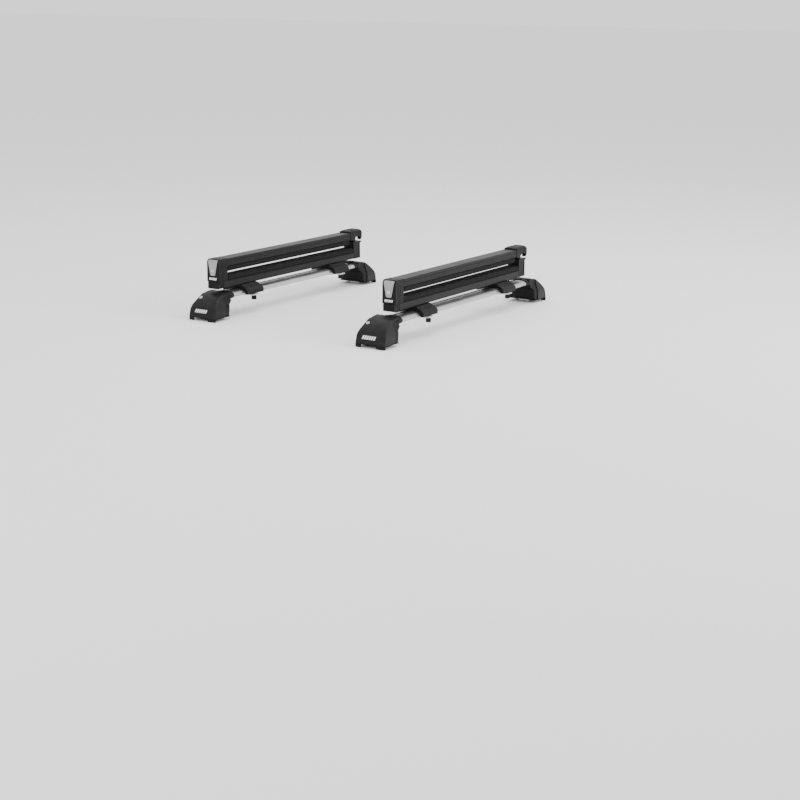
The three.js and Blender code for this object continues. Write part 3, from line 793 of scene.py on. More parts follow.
def cover_sheet():
    """The cover's outer surface, with its normals outwards."""
    columns = len(cover_row(pi)) - 1
    clear_selection()
    bpy.ops.mesh.primitive_grid_add(x_subdivisions=columns, y_subdivisions=FAN_ROWS, size=1)
    sheet = bpy.context.object
    rows = [cover_row(pi - pi / 2 * k / FAN_ROWS) for k in range(FAN_ROWS + 1)]
    for vertex in sheet.data.vertices:
        column = round((vertex.co.x + 0.5) * columns)
        row = round((vertex.co.y + 0.5) * FAN_ROWS)
        vertex.co = rows[row][column] * MM
    with editing(sheet, "VERT"):
        bpy.ops.mesh.select_all(action="SELECT")
        bpy.ops.mesh.remove_doubles(threshold=0.00001)
        bpy.ops.mesh.normals_make_consistent(inside=False)
    if max(sheet.data.polygons, key=lambda face: face.center.z).normal.z < 0:
        with editing(sheet):
            bpy.ops.mesh.select_all(action="SELECT")
            bpy.ops.mesh.flip_normals()
    return sheet


print("cover rows:", FAN_ROWS, "points across:", len(cover_row(pi)))

# %% Give the cover its wall and its lock hole
LOCK_PLACE = (-32, 38.4, 71.9)
LOCK_TILT = 0.605
LOCK_HOLE = 6.4


def at_lock(obj):
    """Moves a piece built on the Z axis to the cover's lock, square to the surface there."""
    obj.data.transform(Matrix.Translation(Vector(LOCK_PLACE) * MM) @ Matrix.Rotation(LOCK_TILT, 4, "X"))
    return obj


cover = cover_sheet()
mark_sheet = cover.copy()
mark_sheet.data = cover.data.copy()
bpy.context.scene.collection.objects.link(mark_sheet)
modify(cover, "SOLIDIFY", thickness=COVER_WALL * MM, offset=-1, use_even_offset=True)
cut(cover, at_lock(rod("hole", LOCK_HOLE, (0, 0, -20), 40, "z")))
soften(cover, 0.5, segments=2, angle=50)
smooth(cover)
lay_all(FOOT_HOMES, (cover, "cover_shell", "cover", SHELL, "satin_plastic", "cover"))

# %% [markdown]
# ## Printed marks
# The real covers and latch housings carry a printed name. Here there is only a plain hatch of
# slanted bars, barely proud. On a cover they are cut from a skin that follows its curve.

# %% Print a hatch on the covers
MARK_BARS = 6
MARK_CENTRE = -8
MARK_PITCH = 8.4
MARK_WIDTH = 5.2
MARK_SLANT = 3.0
MARK_LOW, MARK_HIGH = 27, 38
MARK_PROUD = 0.15


def hatch(name, centre, low, high, pitch, width, slant, near, far):
    """Slanted bars in a row, pushed through from near to far as one solid."""
    bars = []
    for i in range(MARK_BARS):
        x = centre + (i - (MARK_BARS - 1) / 2) * pitch
        corners = [(x - width / 2, low), (x + width / 2, low),
                   (x + width / 2 + slant, high), (x - width / 2 + slant, high)]
        bars.append(drawn(name, corners, "y", near, far))
    clear_selection()
    for bar in bars:
        bar.select_set(True)
    bpy.context.view_layer.objects.active = bars[0]
    bpy.ops.object.join()
    return bars[0]


modify(mark_sheet, "SOLIDIFY", thickness=MARK_PROUD * MM, offset=1, use_even_offset=True)
keep_inside(mark_sheet, hatch("hatch", MARK_CENTRE, MARK_LOW, MARK_HIGH, MARK_PITCH, MARK_WIDTH,
                              MARK_SLANT, -5, 30))
smooth(mark_sheet)
lay_all(FOOT_HOMES, (mark_sheet, "mark", "cover", MARK_WHITE, "satin_plastic"))

# %% [markdown]
# ## Foot bodies
# The body is the strong moulding inside. Behind the cover's seam it carries on the same form,
# then narrows to a sleeve in the shape of the wing, with two tongues that go into the bar's
# chambers. Under the cover it is a plain core, and below it are two prongs and the rail channel.

# %% Build the foot body
SEAM_GAP = 0.3
HINGE_SEAM = 0.8
TONGUE_END = 150
ARCH = (-36, 24)
BOLT_HEIGHT = 34
SLEEVE_WALL = 2.8


def foot_form(shrink):
    """The foot's whole form, moved inwards all round."""
    form = drawn("form", grown(foot_side(), -shrink), "x", -70, 70)
    return keep_inside(form, drawn("front", grown(foot_front(), -shrink), "y", -5, 130))


def outer_shoulder():
    """The body's part behind the seam, with its long edges rounded to meet the cover's corners."""
    form = keep_inside(foot_form(0), block("room", (-60, 50, 0), (60, 120, 120)))
    with editing(form, "EDGE"):
        pick_edges(form, lambda place, first, second: abs(first.x) > 0.7 and place.y > 50.5 and (
            second.z > 0.7 or (second.y > 0.7 and place.z > 50)))
        bpy.ops.mesh.bevel(offset=COVER_CORNER * MM, segments=5, affect="EDGES")
    return keep_inside(form, block("room", (-60, COVER_SEAM + SEAM_GAP, 0), (60, 120, 120)))


def inner_core():
    """The body's part under the cover, with room for the cover's lower edge to turn."""
    core = foot_form(COVER_WALL + SEAM_GAP)
    relief_top = COVER_FOOT + 7
    return cut(core, block("relief", (-60, -1, COVER_FOOT - HINGE_SEAM), (60, 5.6, relief_top)))


def rail_skirt():
    """The lowest part, below the cover's hinge seam."""
    skirt = keep_inside(foot_form(0), block("room", (-60, -5, -1), (60, 120, COVER_FOOT - HINGE_SEAM)))
    with editing(skirt, "EDGE"):
        pick_edges(skirt, lambda place, first, second: abs(first.x) > 0.7 and second.y < -0.7)
        bpy.ops.mesh.bevel(offset=COVER_CORNER * MM, segments=5, affect="EDGES")
    return skirt


def foot_body(nose):
    """The whole body, for a foot on which the bar's nose points to +X or to -X."""
    sleeve = soften(drawn("sleeve", wing(SLEEVE_WALL, nose), "y", 90, SLEEVE_END), 1.0)
    collar = soften(drawn("collar", wing(SLEEVE_WALL + 1.4, nose), "y", 100, 110), 0.7)
    keep_inside(collar, block("room", (-43.4, 90, 50), (43.4, 120, 91.9)))
    body = weld(inner_core(), outer_shoulder(), rail_skirt(), collar, sleeve)
    cut(body, drawn("socket", wing(GAP, nose), "y", 82 - GAP, SLEEVE_END + 1))
    weld(body, chambers(79, TONGUE_END, -GAP, nose))
    cut(body, block("arch", (ARCH[0], -1, -1), (ARCH[1], 7.5, 11)))
    cut(body, block("claw_slot", (-20.6, 62.6, 9), (20.6, 78, 52)))
    cut(body, rod("bolt_well", 8, (0, -5, BOLT_HEIGHT), 24.4, "y"))
    cut(body, rod("bolt_bore", 3.3, (0, 0, BOLT_HEIGHT), 80, "y", 24))
    cut(body, at_lock(rod("lock_well", 11, (0, 0, -11), 31, "z")))
    return smooth(body)


for side, nose in (("near", 1), ("far", -1)):
    body = foot_body(nose)
    for name in CARRIERS:
        foot = f"{name}_{side}_foot"
        lay(body, f"{foot}_moulding", foot_place(name, side), "root", MOULDED, "black_plastic",
            f"{foot}_body")
    put_away(body)

# %% [markdown]
# ## Small parts of a foot
# The rubber pad is ribbed, so that it grips a rail in the wet. A rib is shaped once on a short
# slice of the pad, and an Array modifier repeats the slice. The claw is bent from thick strip
# and has a nut welded on its back for the tension bolt.

# %% Make a ribbed rubber strip
def ribbed(name, half_section, start, pitch, count, rib, up=1):
    """A strip along Y. Its section is mirrored about x = 0, and rib is (inset, height, narrowing)."""
    inset, height, narrowing = rib
    piece = drawn(name, mirrored(half_section), "y", start, start + pitch, steps=3)
    with editing(piece):
        flat = max(corner[1] * up for corner in half_section)
        pick_faces(piece, lambda place, normal: normal.z * up > 0.99 and place.z * up > flat - 0.1)
        bpy.ops.mesh.inset(thickness=inset * MM)
        for share in (0.7, 0.3):
            rise = (0, 0, up * height * share * MM)
            bpy.ops.mesh.extrude_region_move(TRANSFORM_OT_translate={"value": rise})
        middle_point = (0, (start + pitch / 2) * MM, 0)
        bpy.ops.transform.resize(value=(0.985, narrowing, 1), center_override=middle_point)
        bpy.ops.mesh.select_all(action="DESELECT")
        pick_faces(piece, lambda place, normal: abs(normal.y) > 0.99 and (
            place.y < start + 0.01 or place.y > start + pitch - 0.01))
        bpy.ops.mesh.delete(type="FACE")
    modify(piece, "ARRAY", count=count, use_relative_offset=False, use_constant_offset=True,
           constant_offset_displace=(0, pitch * MM, 0), use_merge_vertices=True,
           merge_threshold=0.00002)
    with editing(piece, "VERT"):
        bpy.ops.mesh.select_all(action="SELECT")
        bpy.ops.mesh.fill_holes(sides=0)
        bpy.ops.mesh.normals_make_consistent(inside=False)
    return smooth(piece)


FOOT_PAD_HALF = 50
FOOT_PAD_START, FOOT_PAD_PITCH, FOOT_PAD_RIBS = 9, 4.25, 12
FOOT_PAD_RIB = (0.7, 1.0, 0.8)
pad_low, pad_high = span("front_near_foot_pad", Z)
pad_section = [(FOOT_PAD_HALF, pad_high), (FOOT_PAD_HALF, pad_low + FOOT_PAD_RIB[1])]
foot_pad = ribbed("foot_pad", pad_section, FOOT_PAD_START, FOOT_PAD_PITCH, FOOT_PAD_RIBS,
                  FOOT_PAD_RIB, up=-1)
lay_all(FOOT_HOMES, (foot_pad, "ribbed_pad", "root", RUBBER, "rubber", "pad"))

# %% Bend the claws and turn the bolts
def hexagon(name, radius, start, length):
    """A hexagonal bar along Y from a start point."""
    return rod(name, radius, start, length, "y", sides=6)


def claw():
    """A bent strip that hooks under the rail, with its nut."""
    hook = [(58, 1, 1.2), (69.5, 1, 4.0), (69.5, 48, 1.2), (66, 48, 1.2), (66, 4.5, 1.0),
            (58, 4.5, 1.2)]
    strip = soften(drawn("claw", hook, "x", -20, 20), 0.5, segments=2, angle=60)
    nut = soften(hexagon("nut", 6.4, (0, 69.3, BOLT_HEIGHT), 3.2), 0.3, segments=2)
    weld(strip, nut)
    return smooth(cut(strip, rod("hole", 3.4, (0, 55, BOLT_HEIGHT), 30, "y", 32)))


def bolt():
    """A bolt with a flange and a hexagon socket, lying along Y."""
    head = soften(hexagon("bolt", 5.6, (0, 13, BOLT_HEIGHT), 6), 0.4, segments=2)
    collar = rod("collar", 5.9, (0, 17.6, BOLT_HEIGHT), 1.4, "y", 48)
    shank = soften(rod("shank", 3, (0, 15, BOLT_HEIGHT), 62, "y", 32), 0.5, segments=2)
    weld(head, soften(collar, 0.2, segments=1), shank)
    return smooth(cut(head, hexagon("socket", 2.6, (0, 12, BOLT_HEIGHT), 4.6)))


lay_all(FOOT_HOMES, (claw(), "bent_claw", "claw", STEEL, "steel", "claw"),
        (bolt(), "socket_bolt", "bolt", STEEL, "steel", "tension_bolt"))

# %% [markdown]
# ## Locks
# A lock shows a round metal face with a raised rim and a keyway. Behind it a short cam turns.

# %% Make the foot locks
def lock_face(piece, axis_test, push, rim=1.0, depth=0.45):
    """Sinks the face inside a raised rim. push is the way into the lock."""
    with editing(piece):
        pick_faces(piece, axis_test)
        bpy.ops.mesh.inset(thickness=rim * MM)
        bpy.ops.mesh.extrude_region_move(TRANSFORM_OT_translate={"value": Vector(push) * depth * MM})
        bpy.ops.mesh.inset(thickness=0.3 * MM)
    return piece


def foot_lock():
    """The cover's key cylinder with its cam, built on the Z axis and moved to the cover."""
    barrel = soften(rod("lock", 6, (0, 0, -7), 7.9, "z", 48), 0.35, segments=2)
    lock_face(barrel, lambda place, normal: normal.z > 0.99 and place.z > 0.5, (0, 0, -1))
    slit = [(-0.7, -3, 0.5), (0.7, -3, 0.5), (0.7, 3, 0.5), (-0.7, 3, 0.5)]
    cut(barrel, drawn("keyway", slit, "z", -0.6, 3))
    cam = soften(block("cam", (-2.5, -1.5, -7.25), (2.5, 7.5, -4.75)), 0.3, segments=2)
    return smooth(at_lock(weld(barrel, cam)))


lay_all(FOOT_HOMES, (foot_lock(), "key_lock", "lock", LOCK_METAL, "lock_metal", "lock"))

# %% [markdown]
# ## Carrier, lower half
# The base is a hollow black extrusion with a rubber pad on top. Its near end is closed by a
# moulded block, which takes the catch, and its far end by a tower, which guides the lift link.

# %% Read the carrier's sizes
RAIL_NEAR, RAIL_FAR = span("front_base_rail", Y)
RAIL_LOW, RAIL_HIGH = span("front_base_rail", Z)
RAIL_HALF = (span("front_base_rail", X)[1] - span("front_base_rail", X)[0]) / 2
BLOCK_NEAR = span("front_base_end_block", Y)[0]
BLOCK_FAR = RAIL_NEAR - GAP
TOWER_NEAR = RAIL_FAR + GAP
TOWER_FAR = span("front_hinge_tower", Y)[1]
TOWER_TOP = span("front_hinge_tower", Z)[1]
ARM_LOW, ARM_HIGH = span("front_arm_rail", Z)
ARM_NEAR, ARM_FAR = span("front_arm_rail", Y)
ARM_HALF = (span("front_arm_rail", X)[1] - span("front_arm_rail", X)[0]) / 2
print("base rail:", RAIL_NEAR, RAIL_FAR, "arm rail:", ARM_NEAR, ARM_FAR)

# %% Extrude the base rail
RAIL_WALL = 3.0


def base_rail():
    """A hollow extrusion with two fine grooves on each side and one near each lower edge."""
    right = [(RAIL_HALF - 12, RAIL_LOW), (RAIL_HALF - 11.2, RAIL_LOW + 0.8), (RAIL_HALF - 10.4, RAIL_LOW),
             (RAIL_HALF, RAIL_LOW, 3), (RAIL_HALF, RAIL_LOW + 7), (RAIL_HALF - 0.8, RAIL_LOW + 7.6),
             (RAIL_HALF - 0.8, RAIL_LOW + 8.6), (RAIL_HALF, RAIL_LOW + 9.2), (RAIL_HALF, RAIL_HIGH - 6),
             (RAIL_HALF - 0.8, RAIL_HIGH - 5.4), (RAIL_HALF - 0.8, RAIL_HIGH - 4.4),
             (RAIL_HALF, RAIL_HIGH - 3.8), (RAIL_HALF, RAIL_HIGH, 2)]
    rail = drawn("rail", mirrored(right), "y", RAIL_NEAR, RAIL_FAR, steps=5)
    inside = RAIL_HALF - RAIL_WALL
    hollow = block("hollow", (-inside, RAIL_NEAR - 1, RAIL_LOW + RAIL_WALL),
                   (inside, RAIL_FAR + 1, RAIL_HIGH - RAIL_WALL))
    return smooth(cut(rail, soften(hollow, 1.5)))


lay_all(CARRIER_HOMES, (base_rail(), "base_extrusion", "root", ANODISED, "black_alloy", "base_rail"))

# %% [markdown]
# ## Rubber pads
# The skis lie between two soft black pads. Each pad is a moulded strip with a lip along both
# sides and close cross ribs on the face, so that it gives under a ski and doesn't let it slide.

# %% Mould the two ski pads
PAD_HALF = 23
PAD_PITCH = 5.0
PAD_RIB = (0.8, 1.5, 0.72)


def ski_pad(node, up):
    """A pad that fills its node's height, with its ribs up (1) or down (-1)."""
    low, high = span(f"front_{node}", Z)
    near, far = span(f"front_{node}", Y)
    foot, face = (low, high) if up > 0 else (high, low)
    count = int((far - near) / PAD_PITCH)
    crest = face - PAD_RIB[1] * up
    half = [(PAD_HALF - 3, foot), (PAD_HALF, foot + 3 * up, 1), (PAD_HALF, face - 9 * up, 1),
            (PAD_HALF - 2, face - 8 * up, 0.8), (PAD_HALF - 1.6, face - 4 * up, 0.8),
            (PAD_HALF - 4.5, crest - 0.5 * up, 1), (PAD_HALF - 6.5, crest)]
    start = (near + far - count * PAD_PITCH) / 2
    return ribbed("pad", half, start, PAD_PITCH, count, PAD_RIB, up)


for node, up, body in (("base_pad", 1, "root"), ("arm_pad", -1, "arm")):
    lay_all(CARRIER_HOMES, (ski_pad(node, up), f"{node}_rubber", body, RUBBER, "rubber", node))

# %% [markdown]
# ## End block and hinge tower
# Both are mouldings with a plug that fills the rail's end. The block has a pocket where the catch
# drops in, and the same two upright grooves as the latch housing above it. The tower has a well
# for the link and a small lip on its far side.

# %% Mould the end block and the tower
PLUG_CLEAR = RAIL_WALL + GAP
GROOVE_DEEP = 0.9
GROOVE_WIDE = 1.6
GROOVE_PLACES = (18, 27)


def plug(half, low, high, near, far, clear):
    """The part of a moulding that fills an extrusion's end."""
    return soften(block("plug", (-half + clear, near, low + clear),
                        (half - clear, far, high - clear)), 1.2)


def upright_grooves(obj, half, low, high):
    """Cuts the two grooves into both sides, counted from the near end."""
    for away in GROOVE_PLACES:
        y = BLOCK_NEAR + away
        for side in (-1, 1):
            left, right = sorted((side * (half - GROOVE_DEEP), side * (half + 2)))
            cut(obj, block("groove", (left, y, low), (right, y + GROOVE_WIDE, high)))
    return obj


def end_block():
    """The moulding at the rail's near end."""
    half = RAIL_HALF - 0.6
    corners = [(-half, RAIL_LOW, 2), (half, RAIL_LOW, 2), (half, RAIL_HIGH, 1), (-half, RAIL_HIGH, 1)]
    body = soften(drawn("block", corners, "y", BLOCK_NEAR, BLOCK_FAR), 1.6, segments=4, angle=60)
    upright_grooves(body, half, RAIL_LOW + 3, RAIL_HIGH + 1)
    weld(body, plug(RAIL_HALF, RAIL_LOW, RAIL_HIGH, BLOCK_FAR - 2, BLOCK_FAR + 16, PLUG_CLEAR))
    pocket = [(BLOCK_NEAR + 3, 106, 1), (BLOCK_NEAR + 3, 114), (BLOCK_NEAR + 7, 117),
              (BLOCK_NEAR + 7, 130), (BLOCK_FAR - 3, 130), (BLOCK_FAR - 3, 106, 1)]
    return smooth(cut(body, drawn("pocket", pocket, "x", -9, 9)))


LINK_HALF_X = 11.2
LINK_HALF_Y = 7.0
PIVOT_Y, PIVOT_Z = 404.0, 194.0
LINK_LOW = span("front_lift_link", Z)[0]


def hinge_tower():
    """The moulding at the rail's far end, with the well that the link slides in."""
    body_far = TOWER_FAR - 7
    side = [(TOWER_NEAR, RAIL_LOW, 0.5), (body_far - 1, RAIL_LOW, 2), (body_far, RAIL_LOW + 3, 1),
            (body_far - 2, 156.5, 3), (TOWER_FAR, 159.5, 1), (TOWER_FAR, TOWER_TOP, 1.2),
            (TOWER_NEAR, TOWER_TOP, 1.5)]
    tower = soften(drawn("tower", side, "x", -RAIL_HALF, RAIL_HALF), 1.6, segments=4, angle=60)
    for sign in (-1, 1):
        panel = soften(block("panel", (sign * RAIL_HALF - 0.9, TOWER_NEAR + 6, RAIL_LOW + 8),
                             (sign * RAIL_HALF + 0.9, body_far - 8, TOWER_TOP - 9)), 0.6, segments=2)
        cut(tower, panel)
    weld(tower, plug(RAIL_HALF, RAIL_LOW, RAIL_HIGH, TOWER_NEAR - 16, TOWER_NEAR + 2, PLUG_CLEAR))
    well = block("well", (-LINK_HALF_X - GAP, PIVOT_Y - LINK_HALF_Y - GAP, LINK_LOW - GAP),
                 (LINK_HALF_X + GAP, PIVOT_Y + LINK_HALF_Y + GAP, TOWER_TOP + 1))
    return smooth(cut(tower, well))


lay_all(CARRIER_HOMES, (end_block(), "end_block", "root", MOULDED, "black_plastic", "base_end_block"),
        (hinge_tower(), "tower_moulding", "root", MOULDED, "black_plastic", "hinge_tower"))

# %% [markdown]
# ## Lift link
# The arm hangs on a short steel link. The link slides up in the tower when thick skis or a board
# lie between the pads, and the arm turns on the pins at its top.

# %% Forge the lift link
PIN_RADIUS = 4.5
EYE_RADIUS = 9.0


def lift_link():
    """A flat bar with a round eye and the pins that the arm turns on."""
    side = [(PIVOT_Y - LINK_HALF_Y, LINK_LOW, 1), (PIVOT_Y + LINK_HALF_Y, LINK_LOW, 1),
            (PIVOT_Y + LINK_HALF_Y, PIVOT_Z), (PIVOT_Y - LINK_HALF_Y, PIVOT_Z)]
    cheek = LINK_HALF_X - 0.5
    link = soften(drawn("link", side, "x", -cheek, cheek), 0.6, segments=2, angle=60)
    eye = soften(rod("eye", EYE_RADIUS, (-LINK_HALF_X, PIVOT_Y, PIVOT_Z), 2 * LINK_HALF_X, "x", 48), 0.6)
    pin_low, pin_high = span("front_lift_link", X)
    pin_start = pin_low - BAR_X["front"]
    pin = soften(rod("pin", PIN_RADIUS, (pin_start, PIVOT_Y, PIVOT_Z), pin_high - pin_low, "x", 36), 0.5)
    return smooth(weld(link, eye, pin))


lay_all(CARRIER_HOMES, (lift_link(), "steel_link", "link", COATED, "steel", "lift_link"))

# %% [markdown]
# ## Carrier, upper half
# The arm is a second black extrusion. Low on each side it has four close ridges, and above them a
# deep groove, which reads as a fine dark line along the whole arm.

# %% Extrude the arm
ARM_WALL = 3.6
ARM_RIDGES = 4
RIDGE_PITCH = 3.4
RIDGE_DEEP = 0.9
ARM_GROOVE_DEEP = 1.8


def arm_rail():
    """A hollow extrusion with close ridges low on each side and one deep groove above them."""
    right = [(ARM_HALF - 2, ARM_LOW, 0.8), (ARM_HALF, ARM_LOW + 1.6, 0.6)]
    valley = ARM_HALF - RIDGE_DEEP
    for i in range(ARM_RIDGES):
        z = ARM_LOW + 2 + i * RIDGE_PITCH
        right += [(ARM_HALF, z + 2.0, 0.35), (valley, z + 2.5, 0.25), (valley, z + 2.9, 0.25),
                  (ARM_HALF, z + 3.3, 0.35)]
    floor = ARM_HALF - ARM_GROOVE_DEEP
    right += [(ARM_HALF, ARM_HIGH - 9, 0.4), (floor, ARM_HIGH - 8.4), (floor, ARM_HIGH - 7),
              (ARM_HALF, ARM_HIGH - 6.4, 0.4), (ARM_HALF, ARM_HIGH, 3.2)]
    arm = drawn("arm", mirrored(right), "y", ARM_NEAR, ARM_FAR, steps=4)
    inside = ARM_HALF - ARM_WALL
    hollow = block("hollow", (-inside, ARM_NEAR - 1, ARM_LOW + ARM_WALL),
                   (inside, ARM_FAR + 1, ARM_HIGH - ARM_WALL))
    return smooth(cut(arm, soften(hollow, 1.5)))


lay_all(CARRIER_HOMES, (arm_rail(), "arm_extrusion", "arm", ANODISED, "black_alloy", "arm_rail"))

# %% [markdown]
# ## Arm end cap
# The far end of the arm is a domed moulding. From the front it is rounded like a loaf, from the
# side it runs down in a round nose, and an arch under it shows the link. Two outlines crossed at
# right angles give the dome, and the arch, the fork and the pin bore are cut out of it.

# %% Mould the end cap
CAP_NEAR = ARM_FAR + GAP
CAP_FAR, CAP_TOP = 430.0, 210.0
CAP_HALF = 26.0
CAP_LOW = ARM_LOW - 1.5
CAP_SWING = 30.3
NOSE_START, NOSE_TURN, NOSE_STEPS = -0.5404, 0.5093, 6


def cap_side():
    """The cap seen from the side: a long dome, then a round nose about the pivot."""
    dome = [*bezier((CAP_NEAR, CAP_TOP - 6.5), (CAP_NEAR + 14.7, CAP_TOP - 2.2),
                    (CAP_NEAR + 31.3, CAP_TOP), (PIVOT_Y, CAP_TOP), 16),
            *bezier((PIVOT_Y, CAP_TOP), (PIVOT_Y + 16, CAP_TOP),
                    (CAP_FAR, CAP_TOP - 4), (CAP_FAR, PIVOT_Z), 16)]
    nose = []
    for k in range(NOSE_STEPS + 1):
        turn = NOSE_START - NOSE_TURN * k / NOSE_STEPS
        nose.append((PIVOT_Y + CAP_SWING * cos(turn), PIVOT_Z + CAP_SWING * sin(turn)))
    return [(CAP_NEAR, CAP_LOW), *[tuple(p) for p in dome], (CAP_FAR, PIVOT_Z), *nose,
            (CAP_NEAR + 40, CAP_LOW)]


def cap_front():
    """The cap seen along the arm: upright sides under a rounded loaf."""
    shoulder = [*bezier((CAP_HALF, CAP_TOP - 14), (CAP_HALF, CAP_TOP - 4), (14, CAP_TOP), (0, CAP_TOP), 16)]
    return [(-CAP_HALF, 150), (CAP_HALF, 150), *[tuple(p) for p in shoulder], (0, CAP_TOP),
            *[(-p[0], p[1]) for p in reversed(shoulder)]]


def end_cap():
    """The dome, its plug, the arch under it, the fork for the link and the bore for the pins."""
    cap = keep_inside(drawn("cap", cap_side(), "x", -40, 40),
                      drawn("front", cap_front(), "y", CAP_NEAR - 1, CAP_FAR + 5))
    weld(cap, plug(ARM_HALF, ARM_LOW, ARM_HIGH, CAP_NEAR - 22, CAP_NEAR + 2, ARM_WALL + GAP))
    arch = [(385, 150), (421, 150), (421, 174), *bezier((421, 174), (421, 186), (385, 186), (385, 174), 20)]
    cut(cap, drawn("arch", [tuple(p) for p in arch] + [(385, 174)], "x", -40, 40))
    fork = LINK_HALF_X + GAP
    cut(cap, block("fork", (-fork, PIVOT_Y - 13, 150), (fork, CAP_FAR + 5, PIVOT_Z + 10.5)))
    cut(cap, rod("bore", PIN_RADIUS + GAP, (-30, PIVOT_Y, PIVOT_Z), 52.6, "x", 36))
    for sign in (-1, 1):
        start = sign * CAP_HALF - (1.0 if sign > 0 else 0.0)
        cut(cap, rod("pin_seat", 7.5, (start, PIVOT_Y, PIVOT_Z), 1.0, "x", 48))
    return smooth(cap)


lay_all(CARRIER_HOMES, (end_cap(), "domed_cap", "arm", MOULDED, "black_plastic", "arm_end_cap"))

# %% [markdown]
# ## Latch housing
# The near end of the arm is a hollow housing with a round top corner. The button fills a
# tapered hole in its face, and a printed mark stands below the hole.

# %% Mould the latch housing
HOUSING_BACK = span("front_latch_housing", Y)[1] - 20
HOUSING_LOW, HOUSING_TOP = span("front_latch_housing", Z)
HOUSING_CORNER = 13
HOUSING_WALL = 3.0
BUTTON_TALL = 52
BUTTON_HIGH = span("front_release_button", Z)[1]
BUTTON_LOW = BUTTON_HIGH - BUTTON_TALL
BUTTON_TAPER = (9.5, 20)
BUTTON_CORNER = 4


def housing_side(out):
    """The housing's side outline, moved outwards."""
    return [(HOUSING_BACK, HOUSING_LOW), (HOUSING_BACK, HOUSING_TOP + out),
            (BLOCK_NEAR - out, HOUSING_TOP + out, HOUSING_CORNER + out), (BLOCK_NEAR - out, HOUSING_LOW)]


def button_face(out):
    """The button's tapered outline, moved outwards."""
    low, high = BUTTON_TAPER
    corners = [(-low, BUTTON_LOW, BUTTON_CORNER), (low, BUTTON_LOW, BUTTON_CORNER),
               (high, BUTTON_HIGH, BUTTON_CORNER), (-high, BUTTON_HIGH, BUTTON_CORNER)]
    return [tuple(point) for point in grown(rounded(corners), out)]


def latch_housing():
    """The housing's shell, its window for the button, and its plug in the arm."""
    housing = drawn("housing", housing_side(0), "x", -ARM_HALF, ARM_HALF, steps=12)
    soften(housing, 2.0, segments=4, angle=60)
    upright_grooves(housing, ARM_HALF, HOUSING_LOW - 1, HOUSING_TOP - 16)
    inside = ARM_HALF - HOUSING_WALL
    cut(housing, block("hollow", (-inside, BLOCK_NEAR + HOUSING_WALL, HOUSING_LOW - 5),
                       (inside, HOUSING_BACK - HOUSING_WALL, HOUSING_TOP - HOUSING_WALL)))
    cut(housing, drawn("window", button_face(0.5), "y", BLOCK_NEAR - 5, BLOCK_NEAR + 18))
    return smooth(weld(housing, plug(ARM_HALF, ARM_LOW, ARM_HIGH, HOUSING_BACK - 2, HOUSING_BACK + 20,
                                     ARM_WALL + GAP)))


lay_all(CARRIER_HOMES, (latch_housing(), "latch_shell", "arm", MOULDED, "black_plastic", "latch_housing"))

# %% Print a hatch on the housings
HOUSING_MARK_LOW, HOUSING_MARK_HIGH = 130, 138
housing_mark = hatch("hatch", -1.0, HOUSING_MARK_LOW, HOUSING_MARK_HIGH, 5.2, 3.2, 2.0,
                     BLOCK_NEAR - MARK_PROUD, BLOCK_NEAR + 2 * MARK_PROUD)
lay_all(CARRIER_HOMES, (smooth(housing_mark), "housing_mark", "arm", MARK_WHITE, "satin_plastic"))

# %% [markdown]
# ## Release button
# The button is a light grey moulding that follows the housing's round corner. Its face is
# dished inside a narrow rim, and a ring stands round the lock. The stem on its back reaches down
# into the end block's pocket, and its tooth stands just clear of the ledge there.

# %% Mould the button
BUTTON_PROUD = 0.8
BUTTON_RIM = 2.2
BUTTON_DISH = 0.6
BUTTON_DEEP = 7
STEM_HALF = 7
CARRIER_LOCK_RADIUS = 5.5
LOCK_RING = 2.6
CARRIER_LOCK_Z = 161


def button_skin(out, face):
    """The part of the housing's form that lies behind an outline on its face."""
    return keep_inside(drawn("skin", housing_side(out), "x", -30, 30, steps=12),
                       drawn("face", face, "y", BLOCK_NEAR - 5, BLOCK_NEAR + BUTTON_DEEP))


def release_button():
    """The button's face with its rim, dish and lock ring, and the stem on its back."""
    button = soften(button_skin(BUTTON_PROUD, button_face(0)), 0.7, segments=3, angle=50)
    dish = drawn("dish", button_face(-BUTTON_RIM), "y", BLOCK_NEAR - 5, BLOCK_NEAR + BUTTON_DEEP - 2)
    cut(dish, drawn("core", housing_side(BUTTON_PROUD - BUTTON_DISH), "x", -40, 40, steps=12))
    cut(button, dish)
    ring_start = (0, BLOCK_NEAR - BUTTON_PROUD - 0.5, CARRIER_LOCK_Z)
    weld(button, soften(rod("ring", CARRIER_LOCK_RADIUS + LOCK_RING, ring_start, 4, "y", 48), 0.5))
    stem_near, stem_far = BLOCK_NEAR + 6, BLOCK_NEAR + 14
    stem = [(stem_near, 153), (stem_near, 145, 0.8), (BLOCK_NEAR + 11, 142), (BLOCK_NEAR + 11, 115),
            (BLOCK_NEAR + 9.5, 112), (BLOCK_NEAR + 9.5, 108), (stem_far, 108, 0.8), (stem_far, 153, 0.8)]
    weld(button, soften(drawn("stem", stem, "x", -STEM_HALF, STEM_HALF), 0.4, segments=2, angle=60))
    bore = CARRIER_LOCK_RADIUS + GAP
    return smooth(cut(button, rod("bore", bore, (0, BLOCK_NEAR - 5, CARRIER_LOCK_Z), 13, "y", 48)))


